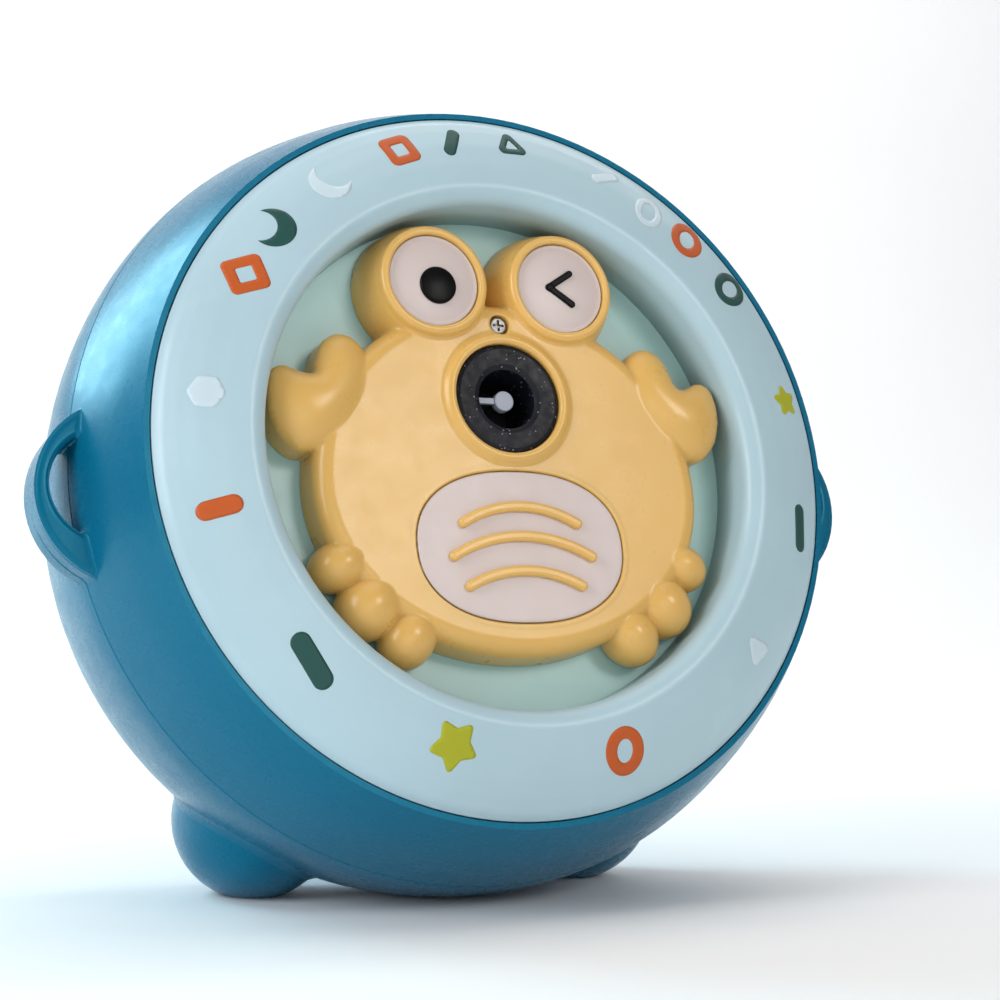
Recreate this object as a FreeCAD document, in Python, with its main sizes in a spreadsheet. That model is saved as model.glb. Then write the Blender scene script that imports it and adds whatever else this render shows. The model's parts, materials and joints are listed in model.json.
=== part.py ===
"""Tabletop bubble machine with a crab face: every piece as its own solid, in millimetres.

Everything is laid out in the face frame first: X to the child's right, Y up the round face,
Z out of the face, with the origin at the centre of the ring's outer rim.  Heights above the
rim plane are positive and depths into the machine are negative.  The whole machine is then
leant back by face_tilt and stood on Z = 0.
"""
import FreeCAD
import Part
import Sketcher
import math
import os

V = FreeCAD.Vector
ORIGIN = V(0, 0, 0)
X_AXIS = V(1, 0, 0)
Y_AXIS = V(0, 1, 0)
Z_AXIS = V(0, 0, 1)

DRIVING_SIZES = [
    ("face_tilt", 13.0, "lean of the face, degrees"),
    ("centre_height", 116.6, "ring centre above the table"),
    ("rim_radius", 94.0, "outer edge of the front ring"),
    ("crest_radius", 71.5, "highest circle of the front ring"),
    ("crest_height", 9.7, "height of that circle"),
    ("recess_radius", 67.0, "foot of the recess wall"),
    ("recess_depth", 7.0, "recess floor below the rim plane"),
    ("panel_wall", 2.2, "thickness of the recess panel"),
    ("shell_wall", 2.3, "wall of the blue shells"),
    ("seam_depth", 31.5, "parting plane of the two shells"),
    ("shoulder_radius", 95.9, "front shell at the rim plane"),
    ("back_depth", 110.0, "flat back face"),
    ("back_radius", 62.0, "edge of the flat back face"),
    ("crab_height", 4.5, "front of the crab's body"),
    ("crab_half_width", 54.2, "crab's body, half width"),
    ("nozzle_rise", 14.5, "nozzle above the ring's centre"),
    ("nozzle_radius", 14.6, "outer edge of the black nozzle"),
    ("nozzle_bore", 7.9, "bore of the nozzle"),
    ("eye_spread", 18.2, "eye centre from the middle"),
    ("eye_rise", 45.4, "eye centre above the ring's centre"),
    ("eye_white_radius", 12.4, "white insert"),
    ("pupil_radius", 5.0, "pupil"),
    ("belly_rise", -24.8, "centre of the belly plate"),
    ("belly_half_width", 28.7, "belly plate"),
    ("belly_half_height", 19.7, "belly plate"),
    ("shaft_radius", 1.2, "wiper and pump shafts"),
    ("running_gap", 0.05, "radial clearance of a shaft in its bore"),
    ("chassis_depth", 40.0, "front of the mechanism chassis"),
    ("chassis_wall", 2.5, "chassis plate"),
    ("gear_module", 0.8, "module of the gear train"),
    ("fan_x", -45.0, "blower centre"),
    ("fan_y", -1.5, "blower centre"),
    ("fan_radius", 20.5, "impeller"),
    ("scroll_radius", 25.0, "blower housing, outside"),
    ("tank_half_width", 32.0, "liquid tank"),
    ("tank_wall", 2.0, "liquid tank"),
    ("neck_rise", -60.0, "filler neck below the ring's centre"),
    ("neck_bore", 7.0, "filler neck"),
    ("door_half_width", 28.0, "battery opening"),
    ("door_low", -17.0, "lower edge of the battery opening"),
    ("door_high", 33.0, "upper edge of the battery opening"),
    ("door_gap", 0.3, "clearance round the battery door"),
    ("button_spread", 13.0, "button centre from the middle"),
    ("button_rise", 51.0, "buttons above the ring's centre"),
    ("button_radius", 6.0, "button cap"),
    ("grille_spread", 48.0, "speaker and air vent from the middle"),
    ("grille_rise", 8.0, "speaker and air vent above the centre"),
    ("shell_screw_circle", 96.0, "circle of the four shell screws"),
    ("loop_reach", 116.6, "outermost point of a strap loop"),
    ("loop_half_depth", 5.6, "strap loop each side of the seam"),
    ("seam_groove", 0.3, "bevel of each shell along the parting line"),
]


class Size:
    """A length that knows its value and the sheet expression that drives it."""

    def __init__(self, value, text):
        self.value = value
        self.text = text

    def __add__(self, other):
        other = as_size(other)
        return Size(self.value + other.value, f"({self.text} + {other.text})")

    def __sub__(self, other):
        other = as_size(other)
        return Size(self.value - other.value, f"({self.text} - {other.text})")

    def __mul__(self, factor):
        factor = as_size(factor)
        return Size(self.value * factor.value, f"({self.text} * {factor.text})")

    def __neg__(self):
        return Size(-self.value, f"(0 - {self.text})")

    __radd__ = __add__
    __rmul__ = __mul__

    def __rsub__(self, other):
        return as_size(other) - self


def as_size(number):
    if isinstance(number, Size):
        return number
    return Size(float(number), f"({float(number)!r})")


def value_of(number):
    return as_size(number).value


document = FreeCAD.newDocument("bubble_machine")
sheet = document.addObject("Spreadsheet::Sheet", "Sizes")
for row, (alias, number, note) in enumerate(DRIVING_SIZES, start=1):
    sheet.set(f"A{row}", alias)
    sheet.set(f"B{row}", str(number))
    sheet.set(f"C{row}", note)
    sheet.setAlias(f"B{row}", alias)
document.recompute()
S = {alias: Size(number, f"Sizes.{alias}") for alias, number, note in DRIVING_SIZES}

LEAN = FreeCAD.Rotation(X_AXIS, 90.0 - S["face_tilt"].value)
GROUND_SHIFT = V(0, 0, S["centre_height"].value)
# the box of the whole machine is centred on the origin in Y
FRONT_REACH = 26.03
BACK_REACH = 121.72
CENTRE_SHIFT = V(0, (FRONT_REACH - BACK_REACH) / 2, 0)
FACE = FreeCAD.Placement(GROUND_SHIFT + CENTRE_SHIFT, LEAN)

parts = []


def keep(shape_object, name, spot=None, turn=0.0):
    """Label a finished sub-part, stand it in its place and list it for export."""
    local = FreeCAD.Placement(spot or ORIGIN, FreeCAD.Rotation(Z_AXIS, turn))
    shape_object.Label = name
    shape_object.Placement = FACE.multiply(local)
    parts.append(shape_object)
    return shape_object


# ---------------------------------------------------------------- sketch and feature helpers

def new_body(name):
    return document.addObject("PartDesign::Body", name + "_body")


def new_sketch(body, role, height=0.0):
    sketch = body.newObject("Sketcher::SketchObject", "Sketch")
    plane = [item for item in body.Origin.OriginFeatures if item.Role == role][0]
    sketch.AttachmentSupport = [(plane, "")]
    sketch.MapMode = "FlatFace"
    height = as_size(height)
    sketch.setExpression("AttachmentOffset.Base.z", height.text)
    return sketch


def drive(target, path, number):
    number = as_size(number)
    if "Sizes." in number.text:
        target.setExpression(path, number.text)
    return number.value


def pin_coordinate(sketch, kind, geometry, end, number):
    """Hold one coordinate of a point; the sketch wants its distances positive."""
    number = as_size(number)
    if abs(number.value) < 1e-9:
        axis = -2 if kind == "DistanceX" else -1
        sketch.addConstraint(Sketcher.Constraint("PointOnObject", geometry, end, axis))
        return
    if number.value > 0:
        index = sketch.addConstraint(
            Sketcher.Constraint(kind, -1, 1, geometry, end, number.value))
        drive(sketch, f"Constraints[{index}]", number)
    else:
        index = sketch.addConstraint(
            Sketcher.Constraint(kind, geometry, end, -1, 1, -number.value))
        drive(sketch, f"Constraints[{index}]", -number)


def add_circle(sketch, x, y, radius):
    x, y, radius = as_size(x), as_size(y), as_size(radius)
    circle = Part.Circle(V(x.value, y.value, 0), Z_AXIS, radius.value)
    index = sketch.addGeometry(circle, False)
    pin_coordinate(sketch, "DistanceX", index, 3, x)
    pin_coordinate(sketch, "DistanceY", index, 3, y)
    constraint = sketch.addConstraint(Sketcher.Constraint("Radius", index, radius.value))
    drive(sketch, f"Constraints[{constraint}]", radius)


def circle_through(first, middle, last):
    """Centre, radius and sense (+1 counter-clockwise) of the arc through three points."""
    ax, ay = first.x, first.y
    bx, by = middle.x, middle.y
    cx, cy = last.x, last.y
    d = 2 * (ax * (by - cy) + bx * (cy - ay) + cx * (ay - by))
    ux = ((ax**2 + ay**2) * (by - cy) + (bx**2 + by**2) * (cy - ay)
          + (cx**2 + cy**2) * (ay - by)) / d
    uy = ((ax**2 + ay**2) * (cx - bx) + (bx**2 + by**2) * (ax - cx)
          + (cx**2 + cy**2) * (bx - ax)) / d
    sense = 1 if (bx - ax) * (cy - ay) - (by - ay) * (cx - ax) > 0 else -1
    return V(ux, uy, 0), math.hypot(ax - ux, ay - uy), sense


def add_outline(sketch, start, steps, closing_middle=None):
    """Closed outline.  A step is (x, y), (x, y, (mid_x, mid_y)) for an arc through mid,
    or (x, y, curve) for a ready curve from the previous point.  closing_middle makes the
    last stretch, back to the start, an arc."""
    corners = [start] + [(step[0], step[1]) for step in steps]
    closing = start if closing_middle is None else (start[0], start[1], closing_middle)
    steps = steps + [closing]
    loose = set()
    ends = []
    points = [V(value_of(x), value_of(y), 0) for x, y in corners]
    for number, step in enumerate(steps):
        here = points[number]
        there = points[(number + 1) % len(points)]
        if len(step) == 2:
            index = sketch.addGeometry(Part.LineSegment(here, there), False)
            ends.append((index, 1, 2))
        elif isinstance(step[2], tuple):
            middle = V(value_of(step[2][0]), value_of(step[2][1]), 0)
            centre, radius, sense = circle_through(here, middle, there)
            first, last = (here, there) if sense > 0 else (there, here)
            begin = math.atan2(first.y - centre.y, first.x - centre.x)
            finish = math.atan2(last.y - centre.y, last.x - centre.x)
            if finish <= begin:
                finish += 2 * math.pi
            arc = Part.ArcOfCircle(Part.Circle(centre, Z_AXIS, radius), begin, finish)
            index = sketch.addGeometry(arc, False)
            chord = there - here
            if abs(chord.y) > abs(chord.x):
                pin_coordinate(sketch, "DistanceX", index, 3, centre.x)
            else:
                pin_coordinate(sketch, "DistanceY", index, 3, centre.y)
            ends.append((index, 1, 2) if sense > 0 else (index, 2, 1))
        else:
            index = sketch.addGeometry(step[2], False)
            sketch.addConstraint(Sketcher.Constraint("Block", index))
            loose.add(number)
            loose.add((number + 1) % len(points))
            ends.append((index, 1, 2))
    for number in range(len(steps)):
        index, unused, tail = ends[number]
        following, head, unused = ends[(number + 1) % len(steps)]
        sketch.addConstraint(Sketcher.Constraint("Coincident", index, tail, following, head))
    for number, (x, y) in enumerate(corners):
        if number in loose:
            continue
        index, head, unused = ends[number]
        pin_coordinate(sketch, "DistanceX", index, head, x)
        pin_coordinate(sketch, "DistanceY", index, head, y)


def add_rectangle(sketch, low_x, low_y, high_x, high_y):
    add_outline(sketch, (low_x, low_y), [(high_x, low_y), (high_x, high_y), (low_x, high_y)])


def set_length(feature, length):
    feature.Length = drive(feature, "Length", length)


def recompute_volume(body):
    document.recompute()
    return body.Shape.Volume


def grow(body, sketch, length, downwards=False):
    """Pad a sketch out of the face, or down into the machine."""
    pad = body.newObject("PartDesign::Pad", "Pad")
    pad.Profile = sketch
    pad.Reversed = downwards
    set_length(pad, length)
    document.recompute()
    return pad


def sink(body, sketch, length, upwards=False):
    """Pocket down into the machine, or up out of it, and see that it removed something."""
    before = body.Shape.Volume
    pocket = body.newObject("PartDesign::Pocket", "Pocket")
    pocket.Profile = sketch
    pocket.Reversed = upwards
    set_length(pocket, length)
    if recompute_volume(body) >= before - 1e-6:
        raise RuntimeError(f"pocket in {body.Name} removed nothing")
    return pocket


def turn_profile(body, sketch, cutting=False):
    kind = "PartDesign::Groove" if cutting else "PartDesign::Revolution"
    before = body.Shape.Volume if cutting else None
    feature = body.newObject(kind, "Turned")
    feature.Profile = sketch
    feature.ReferenceAxis = (sketch, ["V_Axis"])
    feature.Angle = 360.0
    volume = recompute_volume(body)
    if cutting and volume >= before - 1e-6:
        raise RuntimeError(f"groove in {body.Name} removed nothing")
    return feature


def repeat_round(body, features, count):
    axis = [item for item in body.Origin.OriginFeatures if item.Role == "Z_Axis"][0]
    pattern = body.newObject("PartDesign::PolarPattern", "Pattern")
    pattern.Originals = features
    pattern.Axis = (axis, [""])
    pattern.Angle = 360.0
    pattern.Occurrences = count
    body.Tip = pattern
    document.recompute()
    return pattern


def turned_body(name, start, steps):
    body = new_body(name)
    sketch = new_sketch(body, "XZ_Plane")
    add_outline(sketch, start, steps)
    turn_profile(body, sketch)
    return body


def dome_middle(radius, low, high):
    """Point half way up a spherical dome that rises on the axis from low to high."""
    centre = (high**2 - low**2 - radius**2) / (2 * (high - low))
    swing = math.atan2(radius, low - centre) / 2
    return (high - centre) * math.sin(swing), centre + (high - centre) * math.cos(swing)


def polar(radius, degrees):
    """Point at an angle counter-clockwise from the face's X axis."""
    angle = math.radians(degrees)
    return radius * math.cos(angle), radius * math.sin(angle)


# ---------------------------------------------------------------- primitive helpers

def tube_primitive(radius, length, spot, direction=None):
    """Part::Cylinder from spot along direction (out of the face unless told otherwise)."""
    item = document.addObject("Part::Cylinder", "Cylinder")
    item.Radius = drive(item, "Radius", radius)
    item.Height = drive(item, "Height", length)
    item.Placement = FreeCAD.Placement(spot, FreeCAD.Rotation(Z_AXIS, direction or Z_AXIS))
    return item


def box_primitive(low, high):
    item = document.addObject("Part::Box", "Box")
    item.Length = drive(item, "Length", as_size(high[0]) - low[0])
    item.Width = drive(item, "Width", as_size(high[1]) - low[1])
    item.Height = drive(item, "Height", as_size(high[2]) - low[2])
    corner = V(value_of(low[0]), value_of(low[1]), value_of(low[2]))
    item.Placement = FreeCAD.Placement(corner, FreeCAD.Rotation())
    return item


def joined(pieces):
    item = document.addObject("Part::MultiFuse", "Fusion")
    item.Shapes = pieces
    return item


def without(base, tools):
    item = document.addObject("Part::Cut", "Cut")
    item.Base = base
    item.Tool = tools[0] if len(tools) == 1 else joined(tools)
    return item


def rounded_edges(base, radius, chosen):
    """Part::Fillet on the edges of base for which chosen(edge) is true."""
    document.recompute()
    item = document.addObject("Part::Fillet", "Rounded")
    item.Base = base
    item.Edges = [(number, radius, radius)
                  for number, edge in enumerate(base.Shape.Edges, start=1) if chosen(edge)]
    return item


def group_of(name, solids):
    """Separate identical solids that share one node."""
    document.recompute()
    item = document.addObject("Part::Feature", name + "_group")
    item.Shape = Part.makeCompound(solids)
    return item


# ---------------------------------------------------------------- profile of the blue shells

def shell_points():
    """Outside of the blue body, radius and height, from the rim to the flat back."""
    back = (S["back_radius"].value, -S["back_depth"].value)
    return [(S["shoulder_radius"].value, 0.0), (101.0, -12.0), (104.7, -24.0),
            (107.0, -34.0), (107.5, -42.0), (106.9, -54.0), (105.0, -66.0), (101.3, -78.0),
            (94.9, -90.0), (85.5, -100.5), (73.5, -107.6), back]


def shell_curve(inset):
    """Spline through the shell's outside, or that line moved inwards by inset."""
    outline = [V(radius, height, 0) for radius, height in shell_points()]
    curve = Part.BSplineCurve()
    curve.interpolate(outline, InitialTangent=V(0.46, -1, 0), FinalTangent=V(-1, -0.12, 0))
    if inset == 0:
        return curve
    moved = []
    for point in outline:
        tangent = curve.tangent(curve.parameter(point))[0]
        if tangent.y > 0 or (abs(tangent.y) < 0.2 and tangent.x > 0):
            tangent = -tangent
        moved.append(point + V(tangent.y, -tangent.x, 0).normalize() * inset)
    moved[-1] = V(moved[-1].x, -S["back_depth"].value + inset, 0)
    inner = Part.BSplineCurve()
    inner.interpolate(moved)
    return inner


def height_parameter(curve, height):
    low, high = curve.FirstParameter, curve.LastParameter
    for unused in range(60):
        middle = (low + high) / 2
        if curve.value(middle).y > height:
            low = middle
        else:
            high = middle
    return (low + high) / 2


def curve_between(curve, top, bottom, downwards=True):
    """Stretch of a shell curve between two heights, running down or up."""
    piece = curve.copy()
    piece.segment(height_parameter(curve, top), height_parameter(curve, bottom))
    if not downwards:
        piece.reverse()
    return piece


def loop_outline(side):
    """Steps of the D-shaped strap loop beside the shell, for add_outline."""
    reach = S["loop_reach"] * side
    start = (side * 103.6, 17.5)
    inner = (side * 112.8, -2.5)
    steps = [(side * 102.0, -26.0, (reach, -3.5)),
             (side * 103.9, -15.5),
             (side * 104.4, 11.5, inner)]
    return start, steps


def ground_cutter(body):
    """Cut the underside flat where the machine stands on the table."""
    cutter = body.newObject("PartDesign::SubtractiveBox", "Standing")
    cutter.Length = 300
    cutter.Width = 300
    cutter.Height = 60
    tilt = FreeCAD.Rotation(X_AXIS, -(90.0 - S["face_tilt"].value))
    corner = tilt.multVec(V(-150, -150, -S["centre_height"].value - 60))
    cutter.Placement = FreeCAD.Placement(corner, tilt)
    document.recompute()


def add_loops(body, upwards):
    for side in (-1, 1):
        sketch = new_sketch(body, "XY_Plane", -S["seam_depth"])
        start, steps = loop_outline(side)
        add_outline(sketch, start, steps)
        grow(body, sketch, S["loop_half_depth"], downwards=not upwards)


def make_front_shell():
    seam = -S["seam_depth"].value
    outer = shell_curve(0)
    inner = shell_curve(S["shell_wall"].value)
    ledge = -2.4
    body = new_body("front_shell")
    sketch = new_sketch(body, "XZ_Plane")
    groove = S["seam_groove"].value
    down = curve_between(outer, -1e-6, seam + groove)
    up = curve_between(inner, -5.0, seam, downwards=False)
    tongue = up.value(up.FirstParameter).x - 0.2
    low = down.value(down.LastParameter)
    inside = (up.value(up.FirstParameter).x, seam)
    top = (up.value(up.LastParameter).x, -5.0)
    lip = 93.7
    add_outline(sketch, (down.value(down.FirstParameter).x, 0.0),
                [(low.x, low.y, down), (low.x - groove, seam), inside, (top[0], top[1], up),
                 (lip, -4.2), (lip, ledge), (S["rim_radius"] + 0.4, ledge),
                 (S["rim_radius"] + 0.4, 0.0)])
    turn_profile(body, sketch)
    tongue_sketch = new_sketch(body, "XZ_Plane")
    add_outline(tongue_sketch, (tongue + 0.2, -S["seam_depth"] + 3.0),
                [(tongue, -S["seam_depth"] - 2.5), (tongue - 1.4, -S["seam_depth"] - 2.5),
                 (tongue - 2.2, -S["seam_depth"] + 3.0)])
    turn_profile(body, tongue_sketch)
    x, y = polar(S["shell_screw_circle"], 45)
    sketch = new_sketch(body, "XY_Plane", -S["seam_depth"] - 2.5)
    add_circle(sketch, x, y, 5.8)
    boss = grow(body, sketch, 16.0)
    repeat_round(body, [boss], 4)
    sketch = new_sketch(body, "XY_Plane", -S["seam_depth"] - 2.5)
    add_circle(sketch, x, y, 1.5)
    hole = sink(body, sketch, 12.0, upwards=True)
    repeat_round(body, [hole], 4)
    add_loops(body, upwards=True)
    keep(body, "front_body_shell")


def make_rear_shell():
    seam = -S["seam_depth"].value
    wall = S["shell_wall"]
    groove = S["seam_groove"].value
    outer = shell_curve(0)
    inner = shell_curve(wall.value)
    body = new_body("rear_shell")
    sketch = new_sketch(body, "XZ_Plane")
    down = curve_between(outer, seam - groove, -S["back_depth"].value)
    start = down.value(down.FirstParameter)
    end = down.value(down.LastParameter)
    add_outline(sketch, (0.0, seam), [(start.x - groove, seam), (start.x, start.y),
                                      (end.x, end.y, down), (0.0, end.y)])
    turn_profile(body, sketch)
    for side in (-1, 1):
        foot = body.newObject("PartDesign::AdditiveEllipsoid", "Foot")
        foot.Radius1 = 28.0
        foot.Radius2 = 22.0
        foot.Radius3 = 22.5
        foot.Placement = FreeCAD.Placement(V(side * 48.0, -80.0, -77.0), FreeCAD.Rotation())
        document.recompute()
    add_loops(body, upwards=False)
    sketch = new_sketch(body, "XZ_Plane")
    down = curve_between(inner, seam + 1.0, -S["back_depth"].value + wall.value + 1e-4)
    end = down.value(down.LastParameter)
    add_outline(sketch, (0.0, seam + 1.0), [(down.value(down.FirstParameter).x, seam + 1.0),
                                            (end.x, end.y, down), (0.0, end.y)])
    turn_profile(body, sketch, cutting=True)
    for side in (-1, 1):
        hollow = body.newObject("PartDesign::SubtractiveEllipsoid", "FootHollow")
        hollow.Radius1 = 25.4
        hollow.Radius2 = 19.4
        hollow.Radius3 = 19.6
        hollow.Placement = FreeCAD.Placement(V(side * 48.0, -80.0, -77.0), FreeCAD.Rotation())
        document.recompute()
    ground_cutter(body)
    add_rear_openings(body)
    keep(body, "rear_body_shell")


def add_rear_openings(body):
    back = -S["back_depth"]
    wall = S["shell_wall"]
    # screw towers from the curved back to the seam
    x, y = polar(S["shell_screw_circle"], 45)
    sketch = new_sketch(body, "XY_Plane", -S["seam_depth"] - 2.8)
    add_circle(sketch, x, y, 5.4)
    tower = grow(body, sketch, 42.0, downwards=True)
    repeat_round(body, [tower], 4)
    sketch = new_sketch(body, "XY_Plane", -S["seam_depth"] - 16.0)
    add_circle(sketch, x, y, 3.6)
    recess = sink(body, sketch, 60.0)
    repeat_round(body, [recess], 4)
    sketch = new_sketch(body, "XY_Plane", -S["seam_depth"] - 1.0)
    add_circle(sketch, x, y, 1.7)
    shank = sink(body, sketch, 20.0)
    repeat_round(body, [shank], 4)
    # board posts and speaker ring inside the flat back
    sketch = new_sketch(body, "XY_Plane", back + wall)
    for side in (-1, 1):
        for rise in (43.5, 58.5):
            add_circle(sketch, side * 22.5, rise, 2.0)
    grow(body, sketch, 8.0)
    sketch = new_sketch(body, "XY_Plane", back + wall)
    add_circle(sketch, S["grille_spread"], S["grille_rise"], 14.2)
    add_circle(sketch, S["grille_spread"], S["grille_rise"], 13.1)
    grow(body, sketch, 5.0)
    # battery opening, filler neck and button holes
    sketch = new_sketch(body, "XY_Plane", back + wall + 1.0)
    add_rectangle(sketch, -S["door_half_width"], S["door_low"],
                  S["door_half_width"], S["door_high"])
    sink(body, sketch, 8.0)
    sketch = new_sketch(body, "XY_Plane", back + wall + 1.0)
    add_circle(sketch, 0, S["neck_rise"], S["neck_bore"] + 2.3)
    for side in (-1, 1):
        add_circle(sketch, S["button_spread"] * side, S["button_rise"],
                   S["button_radius"] + 0.3)
    sink(body, sketch, 8.0)
    sketch = new_sketch(body, "XY_Plane", back + wall + 1.0)
    for side in (-1, 1):
        for x, y in grille_holes():
            add_circle(sketch, S["grille_spread"] * side + x, S["grille_rise"] + y, 1.3)
    sink(body, sketch, 8.0)


def grille_holes():
    """Centres of a round grille: one hole, then rings of six and twelve."""
    holes = [(0.0, 0.0)]
    for ring, count in ((4.6, 6), (9.2, 12)):
        for number in range(count):
            holes.append(polar(ring, 360.0 * number / count))
    return holes


# ---------------------------------------------------------------- face pieces

def make_front_ring():
    crest_r = S["crest_radius"]
    crest_h = S["crest_height"]
    rim = S["rim_radius"]
    foot = S["recess_radius"]
    floor = -S["recess_depth"]
    skirt = rim - 0.6
    body = turned_body("front_ring", (rim, 0.0), [
        (crest_r + 1.0, crest_h - 0.06, (84.3, 6.5)),
        (foot + 0.8, 6.4, (68.8, 9.0)),
        (foot, floor),
        (foot + 2.4, floor),
        (foot + 3.1, 4.6),
        (crest_r + 2.4, 7.1, (71.2, 6.6)),
        (skirt - 2.0, -1.6, (84.0, 3.9)),
        (skirt - 2.0, -8.0),
        (skirt, -8.0),
        (skirt, -2.4),
        (rim, -2.4)])
    x, y = polar(as_size(81.0), 45)
    sketch = new_sketch(body, "XY_Plane", floor)
    add_circle(sketch, x, y, 3.0)
    boss = grow(body, sketch, 12.2)
    repeat_round(body, [boss], 4)
    sketch = new_sketch(body, "XY_Plane", floor)
    add_circle(sketch, x, y, 1.1)
    hole = sink(body, sketch, 8.0, upwards=True)
    repeat_round(body, [hole], 4)
    keep(body, "front_ring")


CHASSIS_POSTS = [(-54.0, 36.0), (54.0, 36.0), (-54.0, -32.0), (54.0, -32.0)]
CRAB_POSTS = [(-30.0, 14.0), (30.0, 14.0)]


def make_recess_panel():
    back = -S["recess_depth"] - S["panel_wall"]
    body = new_body("recess_panel")
    sketch = new_sketch(body, "XY_Plane", back)
    add_circle(sketch, 0, 0, S["recess_radius"] + 5.0)
    grow(body, sketch, S["panel_wall"])
    x, y = polar(as_size(81.0), 45)
    sketch = new_sketch(body, "XY_Plane", back)
    add_circle(sketch, x, y, 4.6)
    ear = grow(body, sketch, S["panel_wall"])
    repeat_round(body, [ear], 4)
    near = as_size(70.0)
    sketch = new_sketch(body, "XY_Plane", back)
    corners = [polar(near, 41.5), polar(as_size(79.5), 42.2),
               polar(as_size(79.5), 47.8), polar(near, 48.5)]
    add_outline(sketch, corners[0], corners[1:])
    web = grow(body, sketch, S["panel_wall"])
    repeat_round(body, [web], 4)
    sketch = new_sketch(body, "XY_Plane", back)
    add_circle(sketch, x, y, 1.4)
    hole = sink(body, sketch, 5.0, upwards=True)
    repeat_round(body, [hole], 4)
    sketch = new_sketch(body, "XY_Plane", back)
    for post_x, post_y in CHASSIS_POSTS:
        add_circle(sketch, post_x, post_y, 3.4)
    grow(body, sketch, S["chassis_depth"] - S["recess_depth"] - S["panel_wall"],
         downwards=True)
    sketch = new_sketch(body, "XY_Plane", -S["chassis_depth"])
    for post_x, post_y in CHASSIS_POSTS:
        add_circle(sketch, post_x, post_y, 1.1)
    sink(body, sketch, 10.0, upwards=True)
    sketch = new_sketch(body, "XY_Plane", back)
    add_circle(sketch, 0, S["nozzle_rise"], 12.0)
    for side in (-1, 1):
        add_circle(sketch, S["eye_spread"] * side, S["eye_rise"], 3.4)
    for post_x, post_y in CRAB_POSTS:
        add_circle(sketch, post_x, post_y, 1.6)
    sink(body, sketch, 5.0, upwards=True)
    keep(body, "recess_panel")


def half_ellipse(width, height, centre_y, lower):
    """Half of an ellipse as an edge, upper or lower, from its right end to its left."""
    centre = V(0, centre_y, 0)
    if width >= height:
        ellipse = Part.Ellipse(centre + V(width, 0, 0), centre + V(0, height, 0), centre)
    else:
        ellipse = Part.Ellipse(centre + V(0, height, 0), centre + V(-width, 0, 0), centre)
    right = ellipse.parameter(centre + V(width, 0, 0))
    left = ellipse.parameter(centre - V(width, 0, 0))
    start, stop = (left, right) if lower else (right, left)
    if stop <= start:
        stop += 2 * math.pi
    return Part.Edge(ellipse, start, stop)


def pillow(outline, bottom, top, radius):
    """A closed wire raised from bottom to top with its upper edge rounded."""
    outline = outline.copy()
    outline.translate(V(0, 0, bottom))
    solid = Part.Face(outline).extrude(V(0, 0, top - bottom))
    upper = [edge for edge in solid.Edges
             if min(vertex.Z for vertex in edge.Vertexes) > top - 1e-3]
    return solid.makeFillet(radius, upper)


def closed_spline(points):
    curve = Part.BSplineCurve()
    curve.interpolate([V(x, y, 0) for x, y in points], PeriodicFlag=True)
    return Part.Wire([curve.toShape()])


def ellipsoid(centre, radii, turn):
    ball = Part.makeSphere(1.0)
    stretch = FreeCAD.Matrix()
    stretch.scale(V(*radii))
    ball = ball.transformGeometry(stretch)
    ball.rotate(ORIGIN, Z_AXIS, turn)
    ball.translate(centre)
    return ball


def crab_outline(margin):
    """Body outline of the crab, pulled in by margin."""
    width = S["crab_half_width"].value - margin
    return Part.Wire([half_ellipse(width, 50.0 - margin, -9.0, lower=False),
                      half_ellipse(width, 44.3 - margin, -9.0, lower=True)])


def belly_outline(margin):
    """Soft-cornered oval of the belly plate, grown by margin."""
    width = S["belly_half_width"].value + margin
    height = S["belly_half_height"].value + margin
    rise = S["belly_rise"].value
    power = 2 / 2.3
    points = []
    for number in range(24):
        angle = 2 * math.pi * number / 24
        across = math.cos(angle)
        along = math.sin(angle)
        points.append((math.copysign(abs(across) ** power, across) * width,
                       math.copysign(abs(along) ** power, along) * height + rise))
    return closed_spline(points)


def claw_outline():
    """Right-hand claw: a thumb beside the body and a pointed finger, mouth opening upwards."""
    return closed_spline([
        (55.8, -0.3), (61.0, 3.0), (63.7, 8.8), (64.1, 15.2), (62.9, 20.3), (59.6, 22.0),
        (55.2, 20.3), (51.9, 20.0), (50.8, 23.6), (49.0, 28.0), (45.4, 30.7), (41.2, 30.4),
        (38.0, 27.2), (36.9, 21.8), (38.3, 15.0), (42.4, 8.2), (48.8, 2.1)])


LEG_BUMPS = [(48.0, -28.9, 8.1, 6.4, 7.8), (41.3, -39.5, 8.9, 8.0, 8.7),
             (31.3, -47.2, 8.5, 7.2, 7.8)]


def eye_barrel():
    """Eye stalk with a flared foot and a rounded front rim, about its own axis."""
    floor = -S["recess_depth"].value
    profile = [
        Part.LineSegment(V(0, 0, floor), V(18.2, 0, floor)).toShape(),
        Part.Arc(V(18.2, 0, floor), V(17.3, 0, -1.5), V(15.4, 0, 4.1)).toShape(),
        Part.Arc(V(15.4, 0, 4.1), V(14.6, 0, 6.2), V(13.4, 0, 6.7)).toShape(),
        Part.LineSegment(V(13.4, 0, 6.7), V(0, 0, 6.7)).toShape(),
        Part.LineSegment(V(0, 0, 6.7), V(0, 0, floor)).toShape()]
    face = Part.Face(Part.Wire(profile))
    return face.revolve(ORIGIN, Z_AXIS, 360)


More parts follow.
